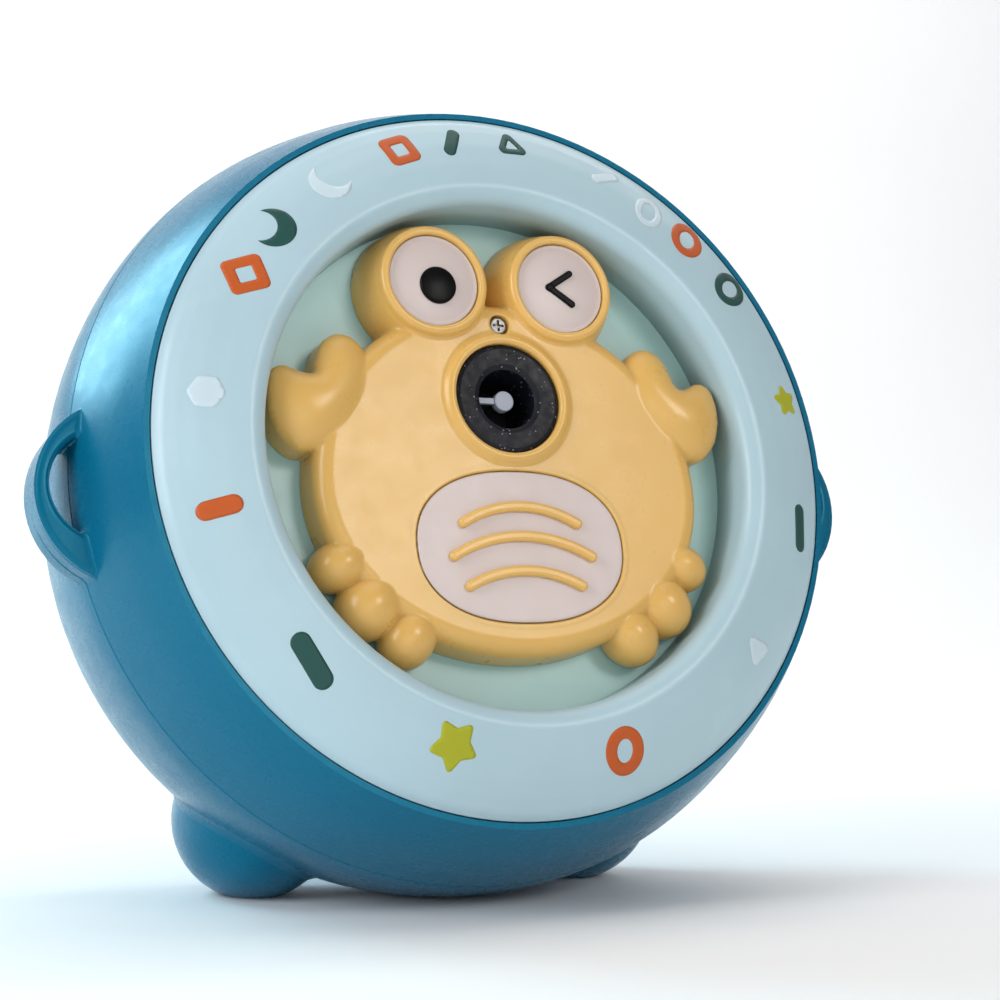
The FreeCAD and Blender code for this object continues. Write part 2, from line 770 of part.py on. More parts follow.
def make_crab_cover():
    """One moulding: body, eye barrels, claws and legs, hollow behind, with its openings."""
    floor = -S["recess_depth"].value
    front = S["crab_height"].value
    nozzle = V(0, S["nozzle_rise"].value, 0)
    shape = pillow(crab_outline(0), floor, front, 4.5)
    right_claw = pillow(claw_outline(), floor, 7.0, 1.8)
    left_claw = right_claw.mirror(ORIGIN, X_AXIS)
    bumps = []
    for x, y, along, across, height in LEG_BUMPS:
        lean = math.degrees(math.atan2(y + 9.0, x))
        bumps.append(ellipsoid(V(x, y, -2.4), (along, across, height), lean))
        bumps.append(ellipsoid(V(-x, y, -2.4), (along, across, height), 180 - lean))
    within_recess = Part.makeCylinder(S["recess_radius"].value - 0.8, 40, V(0, 0, -20))
    eyes = []
    for side in (-1, 1):
        barrel = eye_barrel()
        barrel.translate(V(side * S["eye_spread"].value, S["eye_rise"].value, 0))
        eyes.append(barrel.common(within_recess))
    bead = Part.makeTorus(S["nozzle_radius"].value + 1.2, 1.5, nozzle + V(0, 0, front))
    screw_seat = Part.makeCylinder(4.0, 6.0, V(0, 34.8, -3.0))
    shape = shape.multiFuse([right_claw, left_claw, bead, screw_seat] + bumps + eyes)
    below_floor = Part.makeBox(200, 200, 30, V(-100, -100, floor - 30))
    hollow_wire = crab_outline(3.0)
    hollow_wire.translate(V(0, 0, floor))
    hollow = Part.Face(hollow_wire).extrude(V(0, 0, front - floor - 2.6))
    kept_posts = [Part.makeCylinder(S["nozzle_radius"].value + 1.8, 20, nozzle + V(0, 0, floor)),
                  Part.makeCylinder(4.0, 20, V(0, 34.8, floor))]
    for x, y in CRAB_POSTS:
        kept_posts.append(Part.makeCylinder(3.2, 20, V(x, y, floor)))
    for side in (-1, 1):
        kept_posts.append(Part.makeCylinder(
            15.2, 20, V(side * S["eye_spread"].value, S["eye_rise"].value, floor)))
    hollow = hollow.cut(Part.makeCompound(kept_posts))
    cutters = [below_floor, hollow]
    for x, y in CRAB_POSTS:
        cutters.append(Part.makeCylinder(1.0, 8.0, V(x, y, floor)))
    for side in (-1, 1):
        eye = V(side * S["eye_spread"].value, S["eye_rise"].value, 0)
        cutters.append(Part.makeCylinder(9.5, 11.0, eye + V(0, 0, floor)))
        cutters.append(Part.makeCylinder(S["eye_white_radius"].value + 0.1, 10,
                                         eye + V(0, 0, 3.4)))
    cutters.append(Part.makeCylinder(12.0, 30, nozzle + V(0, 0, floor)))
    cutters.append(Part.makeCylinder(S["nozzle_radius"].value + 0.1, 10,
                                     nozzle + V(0, 0, 2.2)))
    cutters.append(Part.makeCylinder(1.3, 30, V(0, 34.8, floor)))
    cutters.append(Part.makeCylinder(2.7, 10, V(0, 34.8, 2.0)))
    belly = belly_outline(0.25)
    belly.translate(V(0, 0, front - 1.2))
    cutters.append(Part.Face(belly).extrude(V(0, 0, 10)))
    shape = shape.cut(Part.makeCompound(cutters[:1]))
    for cutter in cutters[1:]:
        shape = shape.cut(cutter)
    cover = document.addObject("Part::Feature", "crab_cover_shape")
    cover.Shape = shape.removeSplitter()
    keep(cover, "crab_cover")


def make_eye_white(name, side, mark):
    radius = S["eye_white_radius"]
    body = turned_body(name, (0.0, 3.5), [
        (radius, 3.5), (radius, 5.4), (0.0, 6.9, dome_middle(radius.value, 5.4, 6.9))])
    sketch = new_sketch(body, "XY_Plane", 5.9)
    mark(sketch)
    sink(body, sketch, 4.0, upwards=True)
    keep(body, name, V(side * S["eye_spread"].value, S["eye_rise"].value, 0))


PUPIL_SHIFT = (-0.4, -1.7)


def pupil_mark(sketch):
    add_circle(sketch, PUPIL_SHIFT[0], PUPIL_SHIFT[1], S["pupil_radius"] + 0.05)


def wink_mark(sketch, grown=0.05):
    """Chevron of two round-ended strokes: its point is towards the nose."""
    half = 0.85 + grown
    tip = V(-3.0, -0.3, 0)
    ends = [V(4.3, 4.4, 0), V(4.2, -5.0, 0)]
    sides = []
    for end in ends:
        along = (end - tip).normalize()
        across = V(-along.y, along.x, 0)
        sides.append((along, across, end))
    upper_along, upper_across, upper_end = sides[0]
    lower_along, lower_across, lower_end = sides[1]
    outer_top = tip + upper_across * half
    outer_low = tip - lower_across * half
    gap = upper_along.getAngle(lower_along) / 2
    middle = (upper_along + lower_along).normalize()
    notch = tip + middle * (half / math.sin(gap))
    back = tip - middle * half
    top_out = upper_end + upper_across * half
    top_in = upper_end - upper_across * half
    top_tip = upper_end + upper_along * half
    low_in = lower_end + lower_across * half
    low_out = lower_end - lower_across * half
    low_tip = lower_end + lower_along * half
    add_outline(sketch, (outer_low.x, outer_low.y), [
        (low_out.x, low_out.y), (low_in.x, low_in.y, (low_tip.x, low_tip.y)),
        (notch.x, notch.y), (top_in.x, top_in.y),
        (top_out.x, top_out.y, (top_tip.x, top_tip.y)),
        (outer_top.x, outer_top.y)], closing_middle=(back.x, back.y))


def make_pupil():
    radius = S["pupil_radius"]
    body = turned_body("eye_pupil", (0.0, 5.9), [
        (radius, 5.9), (radius, 6.9), (radius - 0.7, 7.5, (radius.value - 0.2, 7.3)),
        (0.0, 7.9, dome_middle(radius.value - 0.7, 7.5, 7.9))])
    keep(body, "eye_pupil", V(-S["eye_spread"].value + PUPIL_SHIFT[0],
                              S["eye_rise"].value + PUPIL_SHIFT[1], 0))


def make_wink():
    body = new_body("wink_mark")
    sketch = new_sketch(body, "XY_Plane", 5.9)
    wink_mark(sketch, grown=0.0)
    grow(body, sketch, 1.5)
    keep(body, "wink_mark", V(S["eye_spread"].value, S["eye_rise"].value, 0))


def make_belly():
    front = S["crab_height"].value
    plate = belly_outline(0.0)
    plate.translate(V(0, 0, front - 1.2))
    item = document.addObject("Part::Feature", "belly_plate_shape")
    item.Shape = Part.Face(plate).extrude(V(0, 0, 1.2))
    keep(item, "belly_plate")
    ribs = []
    for half, low, high in ((16.0, -18.9, -14.5), (19.3, -27.6, -22.3), (15.7, -35.3, -31.3)):
        arc = Part.Arc(V(-half, low, 0), V(0, high, 0), V(half, low, 0)).toShape()
        outline = Part.Wire([arc]).makeOffset2D(1.35)
        ribs.append(pillow(outline, front, front + 1.7, 0.95))
    keep(group_of("belly_ribs", ribs), "belly_ribs")


def make_nozzle():
    bore = S["nozzle_bore"]
    edge = S["nozzle_radius"]
    body = turned_body("nozzle_ring", (bore, 4.0), [
        (bore, -14.0), (11.8, -14.0), (11.8, 2.2), (edge, 2.2), (edge, 4.3),
        (edge - 0.9, 5.1, (edge.value - 0.25, 4.85)), (bore + 1.3, 4.8),
        (bore + 0.9, 4.4), (bore + 0.35, 4.4)])
    keep(body, "nozzle_ring", V(0, S["nozzle_rise"].value, 0))


# ---------------------------------------------------------------- fasteners

def cross_screw(head_radius, head_height, shank_radius, length, spot, outwards=1):
    """Pan-head screw with a cross recess; its head stands towards outwards along Z."""
    head = Part.makeCylinder(head_radius, head_height)
    rim = [edge for edge in head.Edges
           if abs(edge.BoundBox.ZMin - head_height) < 1e-6 and edge.BoundBox.ZLength < 1e-6]
    head = head.makeFillet(head_height * 0.45, rim)
    shank = Part.makeCylinder(shank_radius, length, V(0, 0, -length))
    solid = head.fuse(shank)
    arm = head_radius * 0.62
    wide = head_radius * 0.13
    depth = head_height * 0.55
    for box in ((arm, wide), (wide, arm)):
        slot = Part.makeBox(2 * box[0], 2 * box[1], depth + 1,
                            V(-box[0], -box[1], head_height - depth))
        solid = solid.cut(slot)
    if outwards < 0:
        solid.rotate(ORIGIN, X_AXIS, 180)
    solid.translate(spot)
    return solid


def make_screws():
    keep(group_of("crab_screw", [cross_screw(2.5, 1.5, 1.2, 8.5, V(0, 34.8, 2.0))]),
         "crab_screw")
    back = -S["recess_depth"].value - S["panel_wall"].value
    panel = []
    for number in range(4):
        x, y = polar(81.0, 45 + 90 * number)
        panel.append(cross_screw(2.4, 1.6, 1.05, 8.0, V(x, y, back), outwards=-1))
    for x, y in CRAB_POSTS:
        panel.append(cross_screw(2.4, 1.6, 0.95, 8.0, V(x, y, back), outwards=-1))
    keep(group_of("panel_screws", panel), "panel_screws")
    chassis_back = -S["chassis_depth"].value - S["chassis_wall"].value
    chassis = [cross_screw(2.4, 1.6, 1.05, 9.0, V(x, y, chassis_back), outwards=-1)
               for x, y in CHASSIS_POSTS]
    keep(group_of("chassis_screws", chassis), "chassis_screws")
    shell = []
    for number in range(4):
        x, y = polar(S["shell_screw_circle"].value, 45 + 90 * number)
        seat = -S["seam_depth"].value - 16.0
        shell.append(cross_screw(3.0, 2.2, 1.45, 24.0, V(x, y, seat), outwards=-1))
    keep(group_of("shell_screws", shell), "shell_screws")
    cover = [cross_screw(2.2, 1.4, 0.95, 7.0, V(x, y, -GEAR_COVER_DEPTH - GEAR_COVER_WALL),
                         outwards=-1) for x, y in GEAR_PILLARS]
    keep(group_of("gear_cover_screws", cover), "gear_cover_screws")


# ---------------------------------------------------------------- gear train layout

WHEEL_TEETH = 40
PINION_TEETH = 12
GEAR_LAYER = 43.5
GEAR_FACE = 4.0
LARGE_LAYER = 48.3
LARGE_FACE = 3.0
GEAR_COVER_DEPTH = 53.0
GEAR_COVER_WALL = 2.0
GEAR_PILLARS = [(-16.0, -8.0), (40.0, -18.0), (40.0, 28.0), (-16.0, 34.0)]

CENTRES = S["gear_module"].value * (WHEEL_TEETH + PINION_TEETH) / 2
WIPER_SPOT = V(0, S["nozzle_rise"].value, 0)
TO_IDLER = -35.0
IDLER_SPOT = WIPER_SPOT + V(*polar(CENTRES, TO_IDLER), 0)
TO_MOTOR = 10.0
MOTOR_SPOT = IDLER_SPOT + V(*polar(CENTRES, TO_MOTOR), 0)
TO_PUMP = -100.0
PUMP_SPOT = IDLER_SPOT + V(*polar(CENTRES, TO_PUMP), 0)
FAN_SPOT = V(S["fan_x"].value, S["fan_y"].value, 0)


def meshed_turn(turn, teeth, direction, other_teeth):
    """Turn of a wheel, in degrees, that puts its gaps on the teeth of its neighbour.
    turn and teeth are the neighbour's; direction points from the neighbour to the wheel."""
    offset = turn - direction
    return direction + 180.0 - offset * teeth / other_teeth + 180.0 / other_teeth


IDLER_TURN = 0.0
WIPER_TURN = meshed_turn(IDLER_TURN, PINION_TEETH, TO_IDLER + 180.0, WHEEL_TEETH)
PUMP_TURN = meshed_turn(IDLER_TURN, PINION_TEETH, TO_PUMP, WHEEL_TEETH)
MOTOR_TURN = meshed_turn(IDLER_TURN, WHEEL_TEETH, TO_MOTOR, PINION_TEETH)


def tooth_gap(teeth):
    """Half angles of the gap between two teeth at a few radii, root to tip."""
    module = S["gear_module"].value
    pitch = module * teeth / 2
    base = pitch * math.cos(math.radians(20))
    play = 0.09
    involute = math.tan(math.radians(20)) - math.radians(20)
    rows = []
    for radius in (pitch - 1.2 * module, pitch - 0.5 * module, pitch, pitch + 0.45 * module,
                   pitch + 0.9 * module):
        roll = math.acos(min(1.0, base / max(radius, base)))
        tooth = math.pi / 2 / teeth + involute - (math.tan(roll) - roll) - play / pitch
        rows.append((radius, math.pi / teeth - tooth))
    return rows


def gear_blank(body, teeth, width, low):
    """Disc at a given depth with its tooth gaps pocketed round it."""
    module = S["gear_module"]
    tip = module * (teeth / 2 + 0.8)
    sketch = new_sketch(body, "XY_Plane", low)
    add_circle(sketch, 0, 0, tip)
    grow(body, sketch, width)
    sketch = new_sketch(body, "XY_Plane", low)
    middle = math.pi / teeth
    rows = tooth_gap(teeth)
    right = [(radius * math.cos(middle - half), radius * math.sin(middle - half))
             for radius, half in rows]
    left = [(radius * math.cos(middle + half), radius * math.sin(middle + half))
            for radius, half in reversed(rows)]
    beyond = 1.1
    corners = (right + [(right[-1][0] * beyond, right[-1][1] * beyond)]
               + [(left[0][0] * beyond, left[0][1] * beyond)] + left)
    add_outline(sketch, corners[0], corners[1:])
    gap = sink(body, sketch, width, upwards=True)
    repeat_round(body, [gap], teeth)


def gear_body(name, teeth, width, low, hub_radius, hub_low, hub_high, bore):
    body = new_body(name)
    gear_blank(body, teeth, width, low)
    sketch = new_sketch(body, "XY_Plane", hub_low)
    add_circle(sketch, 0, 0, hub_radius)
    grow(body, sketch, hub_high - hub_low)
    sketch = new_sketch(body, "XY_Plane", hub_low)
    add_circle(sketch, 0, 0, bore)
    sink(body, sketch, hub_high - hub_low, upwards=True)
    return body


def make_gears():
    low = -GEAR_LAYER - GEAR_FACE
    shaft = S["shaft_radius"]
    wheel = gear_body("wiper_gear", WHEEL_TEETH, GEAR_FACE, low, 3.4, low - 2.0,
                      -GEAR_LAYER + 0.6, shaft)
    keep(wheel, "wiper_gear", WIPER_SPOT, WIPER_TURN)
    wheel = gear_body("pump_gear", WHEEL_TEETH, GEAR_FACE, low, 3.4, low - 2.0,
                      -GEAR_LAYER + 0.6, shaft)
    keep(wheel, "pump_gear", PUMP_SPOT, PUMP_TURN)
    large_low = -LARGE_LAYER - LARGE_FACE
    idler = new_body("compound_gear")
    gear_blank(idler, WHEEL_TEETH, LARGE_FACE, large_low)
    sketch = new_sketch(idler, "XY_Plane", -LARGE_LAYER - 0.2)
    add_circle(sketch, 0, 0, 3.3)
    grow(idler, sketch, LARGE_LAYER - GEAR_LAYER + 0.8)
    small = new_sketch(idler, "XY_Plane", -LARGE_LAYER - 0.1)
    corners = pinion_outline()
    add_outline(small, corners[0], corners[1:])
    grow(idler, small, LARGE_LAYER - GEAR_LAYER + 0.1)
    sketch = new_sketch(idler, "XY_Plane", large_low - 0.6)
    add_circle(sketch, 0, 0, 3.0)
    grow(idler, sketch, 1.0)
    sketch = new_sketch(idler, "XY_Plane", large_low - 1.0)
    add_circle(sketch, 0, 0, shaft + S["running_gap"])
    sink(idler, sketch, 14.0, upwards=True)
    keep(idler, "compound_gear", IDLER_SPOT, IDLER_TURN)
    pinion = gear_body("motor_pinion", PINION_TEETH, LARGE_FACE + 1.0, large_low - 0.4, 3.0,
                       large_low - 0.4, -GEAR_LAYER, 1.0)
    keep(pinion, "motor_pinion", MOTOR_SPOT, MOTOR_TURN)


def pinion_outline():
    """Whole outline of the small pinion, tooth by tooth."""
    rows = tooth_gap(PINION_TEETH)
    corners = []
    for number in range(PINION_TEETH):
        middle = math.pi / PINION_TEETH + 2 * math.pi * number / PINION_TEETH
        for radius, half in reversed(rows[:-1]):
            corners.append((radius * math.cos(middle - half), radius * math.sin(middle - half)))
        for radius, half in rows[:-1]:
            corners.append((radius * math.cos(middle + half), radius * math.sin(middle + half)))
    return corners


def make_shafts():
    shaft = S["shaft_radius"]
    pieces = [("wiper_shaft", WIPER_SPOT, 1.6, 54.6), ("pump_shaft", PUMP_SPOT, -30.0, 54.6),
              ("idler_pin", IDLER_SPOT, -40.0, 55.0)]
    for name, spot, high, low in pieces:
        item = tube_primitive(shaft, high + low, spot + V(0, 0, -low))
        keep_primitive(item, name)
    motor_shaft = tube_primitive(1.0, 16.0, MOTOR_SPOT + V(0, 0, -52.6))
    keep_primitive(motor_shaft, "motor_shaft")
    fan_shaft = tube_primitive(1.0, 21.0, FAN_SPOT + V(0, 0, -41.0))
    keep_primitive(fan_shaft, "fan_shaft")


def keep_primitive(item, name):
    """A primitive keeps its own spot in the face frame under the machine's lean."""
    item.Label = name
    item.Placement = FACE.multiply(item.Placement)
    parts.append(item)


def make_wiper_arm():
    hub = tube_primitive(2.7, 2.2, WIPER_SPOT + V(0, 0, 0.4))
    bore = tube_primitive(S["shaft_radius"], 1.2, WIPER_SPOT + V(0, 0, 0.4))
    arm = box_primitive((-7.5, S["nozzle_rise"] - 0.75, 1.0), (-1.8, S["nozzle_rise"] + 0.75, 2.1))
    fused = rounded_edges(joined([hub, arm]), 0.3, lambda edge: edge.BoundBox.ZMin > 2.5)
    keep(without(fused, [bore]), "wiper_arm")


def make_chassis():
    depth = S["chassis_depth"]
    wall = S["chassis_wall"]
    body = new_body("mechanism_chassis")
    sketch = new_sketch(body, "XY_Plane", -depth - wall)
    add_outline(sketch, (-66.0, -40.0), [(60.0, -40.0), (60.0, 42.0), (-66.0, 42.0)])
    grow(body, sketch, wall)
    sketch = new_sketch(body, "XY_Plane", -depth - wall)
    add_circle(sketch, S["fan_x"], S["fan_y"], 12.4)
    running = S["shaft_radius"] + S["running_gap"]
    add_circle(sketch, WIPER_SPOT.x, S["nozzle_rise"], running)
    add_circle(sketch, PUMP_SPOT.x, PUMP_SPOT.y, running)
    add_circle(sketch, IDLER_SPOT.x, IDLER_SPOT.y, S["shaft_radius"])
    add_circle(sketch, MOTOR_SPOT.x, MOTOR_SPOT.y, 3.2)
    for x, y in CHASSIS_POSTS:
        add_circle(sketch, x, y, 1.3)
    sink(body, sketch, wall + 1.0, upwards=True)
    keep(body, "mechanism_chassis")


def make_gear_cover():
    body = new_body("gear_cover")
    depth = as_size(GEAR_COVER_DEPTH)
    sketch = new_sketch(body, "XY_Plane", -depth - GEAR_COVER_WALL)
    add_outline(sketch, (-20.0, -38.0), [(45.0, -38.0), (45.0, 33.0), (30.0, 38.0),
                                         (-20.0, 38.0)])
    grow(body, sketch, GEAR_COVER_WALL)
    sketch = new_sketch(body, "XY_Plane", -depth)
    for x, y in GEAR_PILLARS:
        add_circle(sketch, x, y, 2.8)
    grow(body, sketch, depth - S["chassis_depth"] - S["chassis_wall"])
    sketch = new_sketch(body, "XY_Plane", -depth - GEAR_COVER_WALL)
    for x, y in GEAR_PILLARS:
        add_circle(sketch, x, y, 1.0)
    sink(body, sketch, 8.0, upwards=True)
    sketch = new_sketch(body, "XY_Plane", -depth - GEAR_COVER_WALL)
    running = S["shaft_radius"] + S["running_gap"]
    for spot in (WIPER_SPOT, PUMP_SPOT):
        add_circle(sketch, spot.x, spot.y, running)
    add_circle(sketch, IDLER_SPOT.x, IDLER_SPOT.y, S["shaft_radius"])
    sink(body, sketch, GEAR_COVER_WALL, upwards=True)
    keep(body, "gear_cover")


# ---------------------------------------------------------------- air path

PLENUM_RADIUS = 13.6
DUCT_LOW = 7.5
DUCT_HIGH = 23.5
SCROLL_FRONT = 16.6
SCROLL_BACK = 36.6
SCROLL_WALL = 1.6


def make_plenum():
    spot = V(0, S["nozzle_rise"].value, -S["chassis_depth"].value)
    length = S["chassis_depth"] - S["recess_depth"] - S["panel_wall"]
    tube = tube_primitive(PLENUM_RADIUS, length, spot)
    room = tube_primitive(PLENUM_RADIUS - 1.7, length, spot + V(0, 0, 2.0))
    bore = tube_primitive(S["shaft_radius"] + S["running_gap"], 4.0, spot - V(0, 0, 1))
    window = box_primitive((-20.0, DUCT_LOW + SCROLL_WALL, -SCROLL_BACK + SCROLL_WALL),
                           (-4.0, DUCT_HIGH - SCROLL_WALL, -SCROLL_FRONT))
    nipple = tube_primitive(2.0, 4.5, V(-8.0, 5.0, -14.0), -Y_AXIS)
    nipple_bore = tube_primitive(1.0, 8.0, V(-8.0, 7.0, -14.0), -Y_AXIS)
    room_again = tube_primitive(PLENUM_RADIUS - 1.7, length, spot + V(0, 0, 2.0))
    shell = without(tube, [room, bore, window])
    item = without(joined([shell, without(nipple, [room_again])]), [nipple_bore])
    keep(item, "air_plenum")


def make_blower():
    outer = S["scroll_radius"]
    depth = SCROLL_BACK - SCROLL_FRONT
    can = tube_primitive(outer, depth, FAN_SPOT + V(0, 0, -SCROLL_BACK))
    duct = box_primitive((S["fan_x"], DUCT_LOW, -SCROLL_BACK), (-9.0, DUCT_HIGH, -SCROLL_FRONT))
    room = tube_primitive(outer - SCROLL_WALL, depth, FAN_SPOT + V(0, 0, -SCROLL_BACK + SCROLL_WALL))
    passage = box_primitive((S["fan_x"], DUCT_LOW + SCROLL_WALL, -SCROLL_BACK + SCROLL_WALL),
                            (0.0, DUCT_HIGH - SCROLL_WALL, -SCROLL_FRONT + 1.0))
    plenum_room = tube_primitive(PLENUM_RADIUS, 60.0, V(0, S["nozzle_rise"].value, -60.0))
    shaft_hole = tube_primitive(2.2, 6.0, FAN_SPOT + V(0, 0, -SCROLL_BACK - 1))
    housing = without(joined([can, duct]), [room, passage, plenum_room, shaft_hole])
    keep(housing, "blower_housing")
    lid = tube_primitive(outer, SCROLL_WALL, FAN_SPOT + V(0, 0, -SCROLL_FRONT))
    tongue = box_primitive((S["fan_x"], DUCT_LOW, -SCROLL_FRONT),
                           (-9.0, DUCT_HIGH, -SCROLL_FRONT + SCROLL_WALL))
    inlet = tube_primitive(11.0, 8.0, FAN_SPOT + V(0, 0, -SCROLL_FRONT - 3.0))
    plenum_side = tube_primitive(PLENUM_RADIUS, 60.0, V(0, S["nozzle_rise"].value, -60.0))
    keep(without(joined([lid, tongue]), [inlet, plenum_side]), "blower_cover")


def make_impeller():
    """Centrifugal wheel: back disc, hub and a ring of forward-swept blades."""
    body = new_body("fan_impeller")
    sketch = new_sketch(body, "XY_Plane", -33.5)
    add_circle(sketch, 0, 0, S["fan_radius"])
    grow(body, sketch, 1.5)
    sketch = new_sketch(body, "XY_Plane", -33.5)
    add_circle(sketch, 0, 0, 4.0)
    grow(body, sketch, 9.0)
    sketch = new_sketch(body, "XY_Plane", -32.2)
    tip = S["fan_radius"].value - 0.4
    root = tip - 6.5
    corners = [polar(root, 0), polar(tip, 14), polar(tip, 17.5), polar(root, 4.5)]
    add_outline(sketch, corners[0], corners[1:])
    blade = grow(body, sketch, 13.0)
    repeat_round(body, [blade], 20)
    sketch = new_sketch(body, "XY_Plane", -33.5)
    add_circle(sketch, 0, 0, 1.0)
    sink(body, sketch, 12.0, upwards=True)
    keep(body, "fan_impeller", FAN_SPOT)


def make_motor(name, spot, radius, near, far, bore_depth, shaft_side):
    """Round can with end boss; the shaft turns in a bore at its shaft_side end."""
    length = far - near
    can = tube_primitive(radius, length, spot + V(0, 0, -far))
    can = rounded_edges(can, 1.0, lambda edge: edge.BoundBox.ZLength < 1e-6)
    flat_side = [box_primitive((spot.x - radius, spot.y + side * (radius - 1.6), -far),
                               (spot.x + radius, spot.y + side * (radius + 4.0), -near))
                 if side > 0 else
                 box_primitive((spot.x - radius, spot.y - radius - 4.0, -far),
                               (spot.x + radius, spot.y - radius + 1.6, -near))
                 for side in (-1, 1)]
    start = -near - bore_depth if shaft_side == "front" else -far
    bore = tube_primitive(1.06, bore_depth, spot + V(0, 0, start))
    keep(without(can, flat_side + [bore]), name)


def make_motors():
    make_motor("fan_motor", FAN_SPOT, 12.0, SCROLL_BACK, 62.0, 5.0, "front")
    make_motor("drive_motor", MOTOR_SPOT, 11.0, 14.0, S["chassis_depth"].value, 5.0, "back")


# ---------------------------------------------------------------- pump and liquid path

TUBE_ORBIT = 12.0
TUBE_RADIUS = 2.0
ROLLER_ORBIT = 6.9
PUMP_LEVEL = -32.5
PUMP_TAIL = 24.0


def make_pump():
    base = -S["chassis_depth"].value
    cup = tube_primitive(16.4, 13.0, PUMP_SPOT + V(0, 0, base))
    room = tube_primitive(14.3, 13.0, PUMP_SPOT + V(0, 0, base + 1.6))
    mouth = box_primitive((PUMP_SPOT.x - 20.0, PUMP_SPOT.y - 14.3, base + 1.6),
                          (PUMP_SPOT.x - 2.0, PUMP_SPOT.y + 14.3, base + 20.0))
    bore = tube_primitive(S["shaft_radius"] + S["running_gap"], 4.0,
                          PUMP_SPOT + V(0, 0, base - 1))
    keep(without(cup, [room, mouth, bore]), "pump_housing")
    disc = tube_primitive(8.8, 1.6, PUMP_SPOT + V(0, 0, -38.0))
    hub = tube_primitive(3.0, 9.0, PUMP_SPOT + V(0, 0, -38.0))
    pins = []
    for number in range(3):
        x, y = polar(ROLLER_ORBIT, 120.0 * number + 30.0)
        pins.append(tube_primitive(0.9, 8.6, PUMP_SPOT + V(x, y, -37.0)))
    bore = tube_primitive(S["shaft_radius"], 9.0, PUMP_SPOT + V(0, 0, -39.0))
    keep(without(joined([disc, hub] + pins), [bore]), "pump_rotor")
    for number in range(3):
        x, y = polar(ROLLER_ORBIT, 120.0 * number + 30.0)
        roller = tube_primitive(2.6, 6.4, PUMP_SPOT + V(x, y, -36.1))
        core = tube_primitive(0.95, 8.0, PUMP_SPOT + V(x, y, -37.0))
        keep(without(roller, [core]), f"pump_roller_{number + 1}")


def bent_line(points, radius):
    """Straight runs joined by tangent arcs of one radius."""
    edges = []
    here = points[0]
    for number in range(1, len(points) - 1):
        corner = points[number]
        back = (points[number - 1] - corner).normalize()
        ahead = (points[number + 1] - corner).normalize()
        half = back.getAngle(ahead) / 2
        reach = radius / math.tan(half)
        begin = corner + back * reach
        finish = corner + ahead * reach
        bisector = (back + ahead).normalize()
        middle = corner + bisector * (radius / math.sin(half) - radius)
        if (begin - here).Length > 1e-6:
            edges.append(Part.LineSegment(here, begin).toShape())
        edges.append(Part.Arc(begin, middle, finish).toShape())
        here = finish
    edges.append(Part.LineSegment(here, points[-1]).toShape())
    return Part.Wire(edges)


def hose(name, path, bore=1.0):
    """Tube with an open bore along a path, checked against section times length."""
    start = path.OrderedVertexes[0].Point
    heading = path.OrderedEdges[0].tangentAt(path.OrderedEdges[0].FirstParameter)
    solids = []
    for radius in (TUBE_RADIUS, bore):
        section = Part.Wire([Part.Circle(start, heading, radius).toShape()])
        solids.append(path.makePipeShell([section], True, True))
    solid = solids[0].cut(solids[1])
    wanted = math.pi * (TUBE_RADIUS**2 - bore**2) * path.Length
    if abs(solid.Volume - wanted) > 0.02 * wanted:
        raise RuntimeError(f"{name} has the wrong volume")
    item = document.addObject("Part::Feature", name + "_tube")
    item.Shape = solid
    keep(item, name)


def make_hoses():
    x, y = PUMP_SPOT.x, PUMP_SPOT.y
    level = PUMP_LEVEL
    upper_end = V(0.0, y + TUBE_ORBIT, level)
    lower_end = V(x - PUMP_TAIL, y - TUBE_ORBIT, level)
    turn = Part.Arc(V(x, y - TUBE_ORBIT, level), V(x + TUBE_ORBIT, y, level),
                    V(x, y + TUBE_ORBIT, level)).toShape()
    path = Part.Wire([Part.LineSegment(lower_end, V(x, y - TUBE_ORBIT, level)).toShape(), turn,
                      Part.LineSegment(V(x, y + TUBE_ORBIT, level), upper_end).toShape()])
    hose("pump_tube", path)
    inlet = V(-24.0, TANK_TOP + 3.0, level)
    path = bent_line([lower_end, V(-24.0, lower_end.y, level), inlet], 6.0)
    hose("suction_hose", path)
    path = bent_line([upper_end, V(-8.0, upper_end.y, level), V(-8.0, upper_end.y, -14.0),
                      V(-8.0, 0.5, -14.0)], 3.0)
    hose("feed_hose", path)


TANK_TOP = -48.0
TANK_BOTTOM = -78.0
TANK_FRONT = -30.0
TANK_BACK = -88.0


def make_tank():
    half = S["tank_half_width"]
    wall = S["tank_wall"]
    block = box_primitive((-half, TANK_BOTTOM, TANK_BACK), (half, TANK_TOP, TANK_FRONT))
    block = rounded_edges(block, 5.0, lambda edge: True)
    room = box_primitive((-half + wall, wall + TANK_BOTTOM, wall + TANK_BACK),
                         (half - wall, TANK_TOP - wall, TANK_FRONT - wall))
    room = rounded_edges(room, 3.2, lambda edge: True)
    bore = S["neck_bore"]
    neck = tube_primitive(bore + 2.0, 25.0, V(0, S["neck_rise"].value, -109.0))
    opening = tube_primitive(bore, 28.0, V(0, S["neck_rise"].value, -111.0))
    spigot = tube_primitive(2.0, 5.0, V(-24.0, TANK_TOP - 2.0, PUMP_LEVEL), Y_AXIS)
    spigot_bore = tube_primitive(1.0, 9.0, V(-24.0, TANK_TOP - 4.0, PUMP_LEVEL), Y_AXIS)
    tank = without(joined([without(block, [room]), neck, spigot]), [opening, spigot_bore])
    keep(tank, "liquid_tank")


def make_filler_cap():
    bore = S["neck_bore"]
    body = turned_body("filler_cap", (0.0, -112.6), [
        (10.2, -112.6), (11.2, -111.8, (10.9, -112.35)), (11.2, -110.3), (bore - 0.05, -110.3),
        (bore - 0.05, -104.4), (bore - 1.0, -103.4), (0.0, -103.4)])
    keep(body, "filler_cap", V(0, S["neck_rise"].value, 0))


# ---------------------------------------------------------------- power, sound and controls

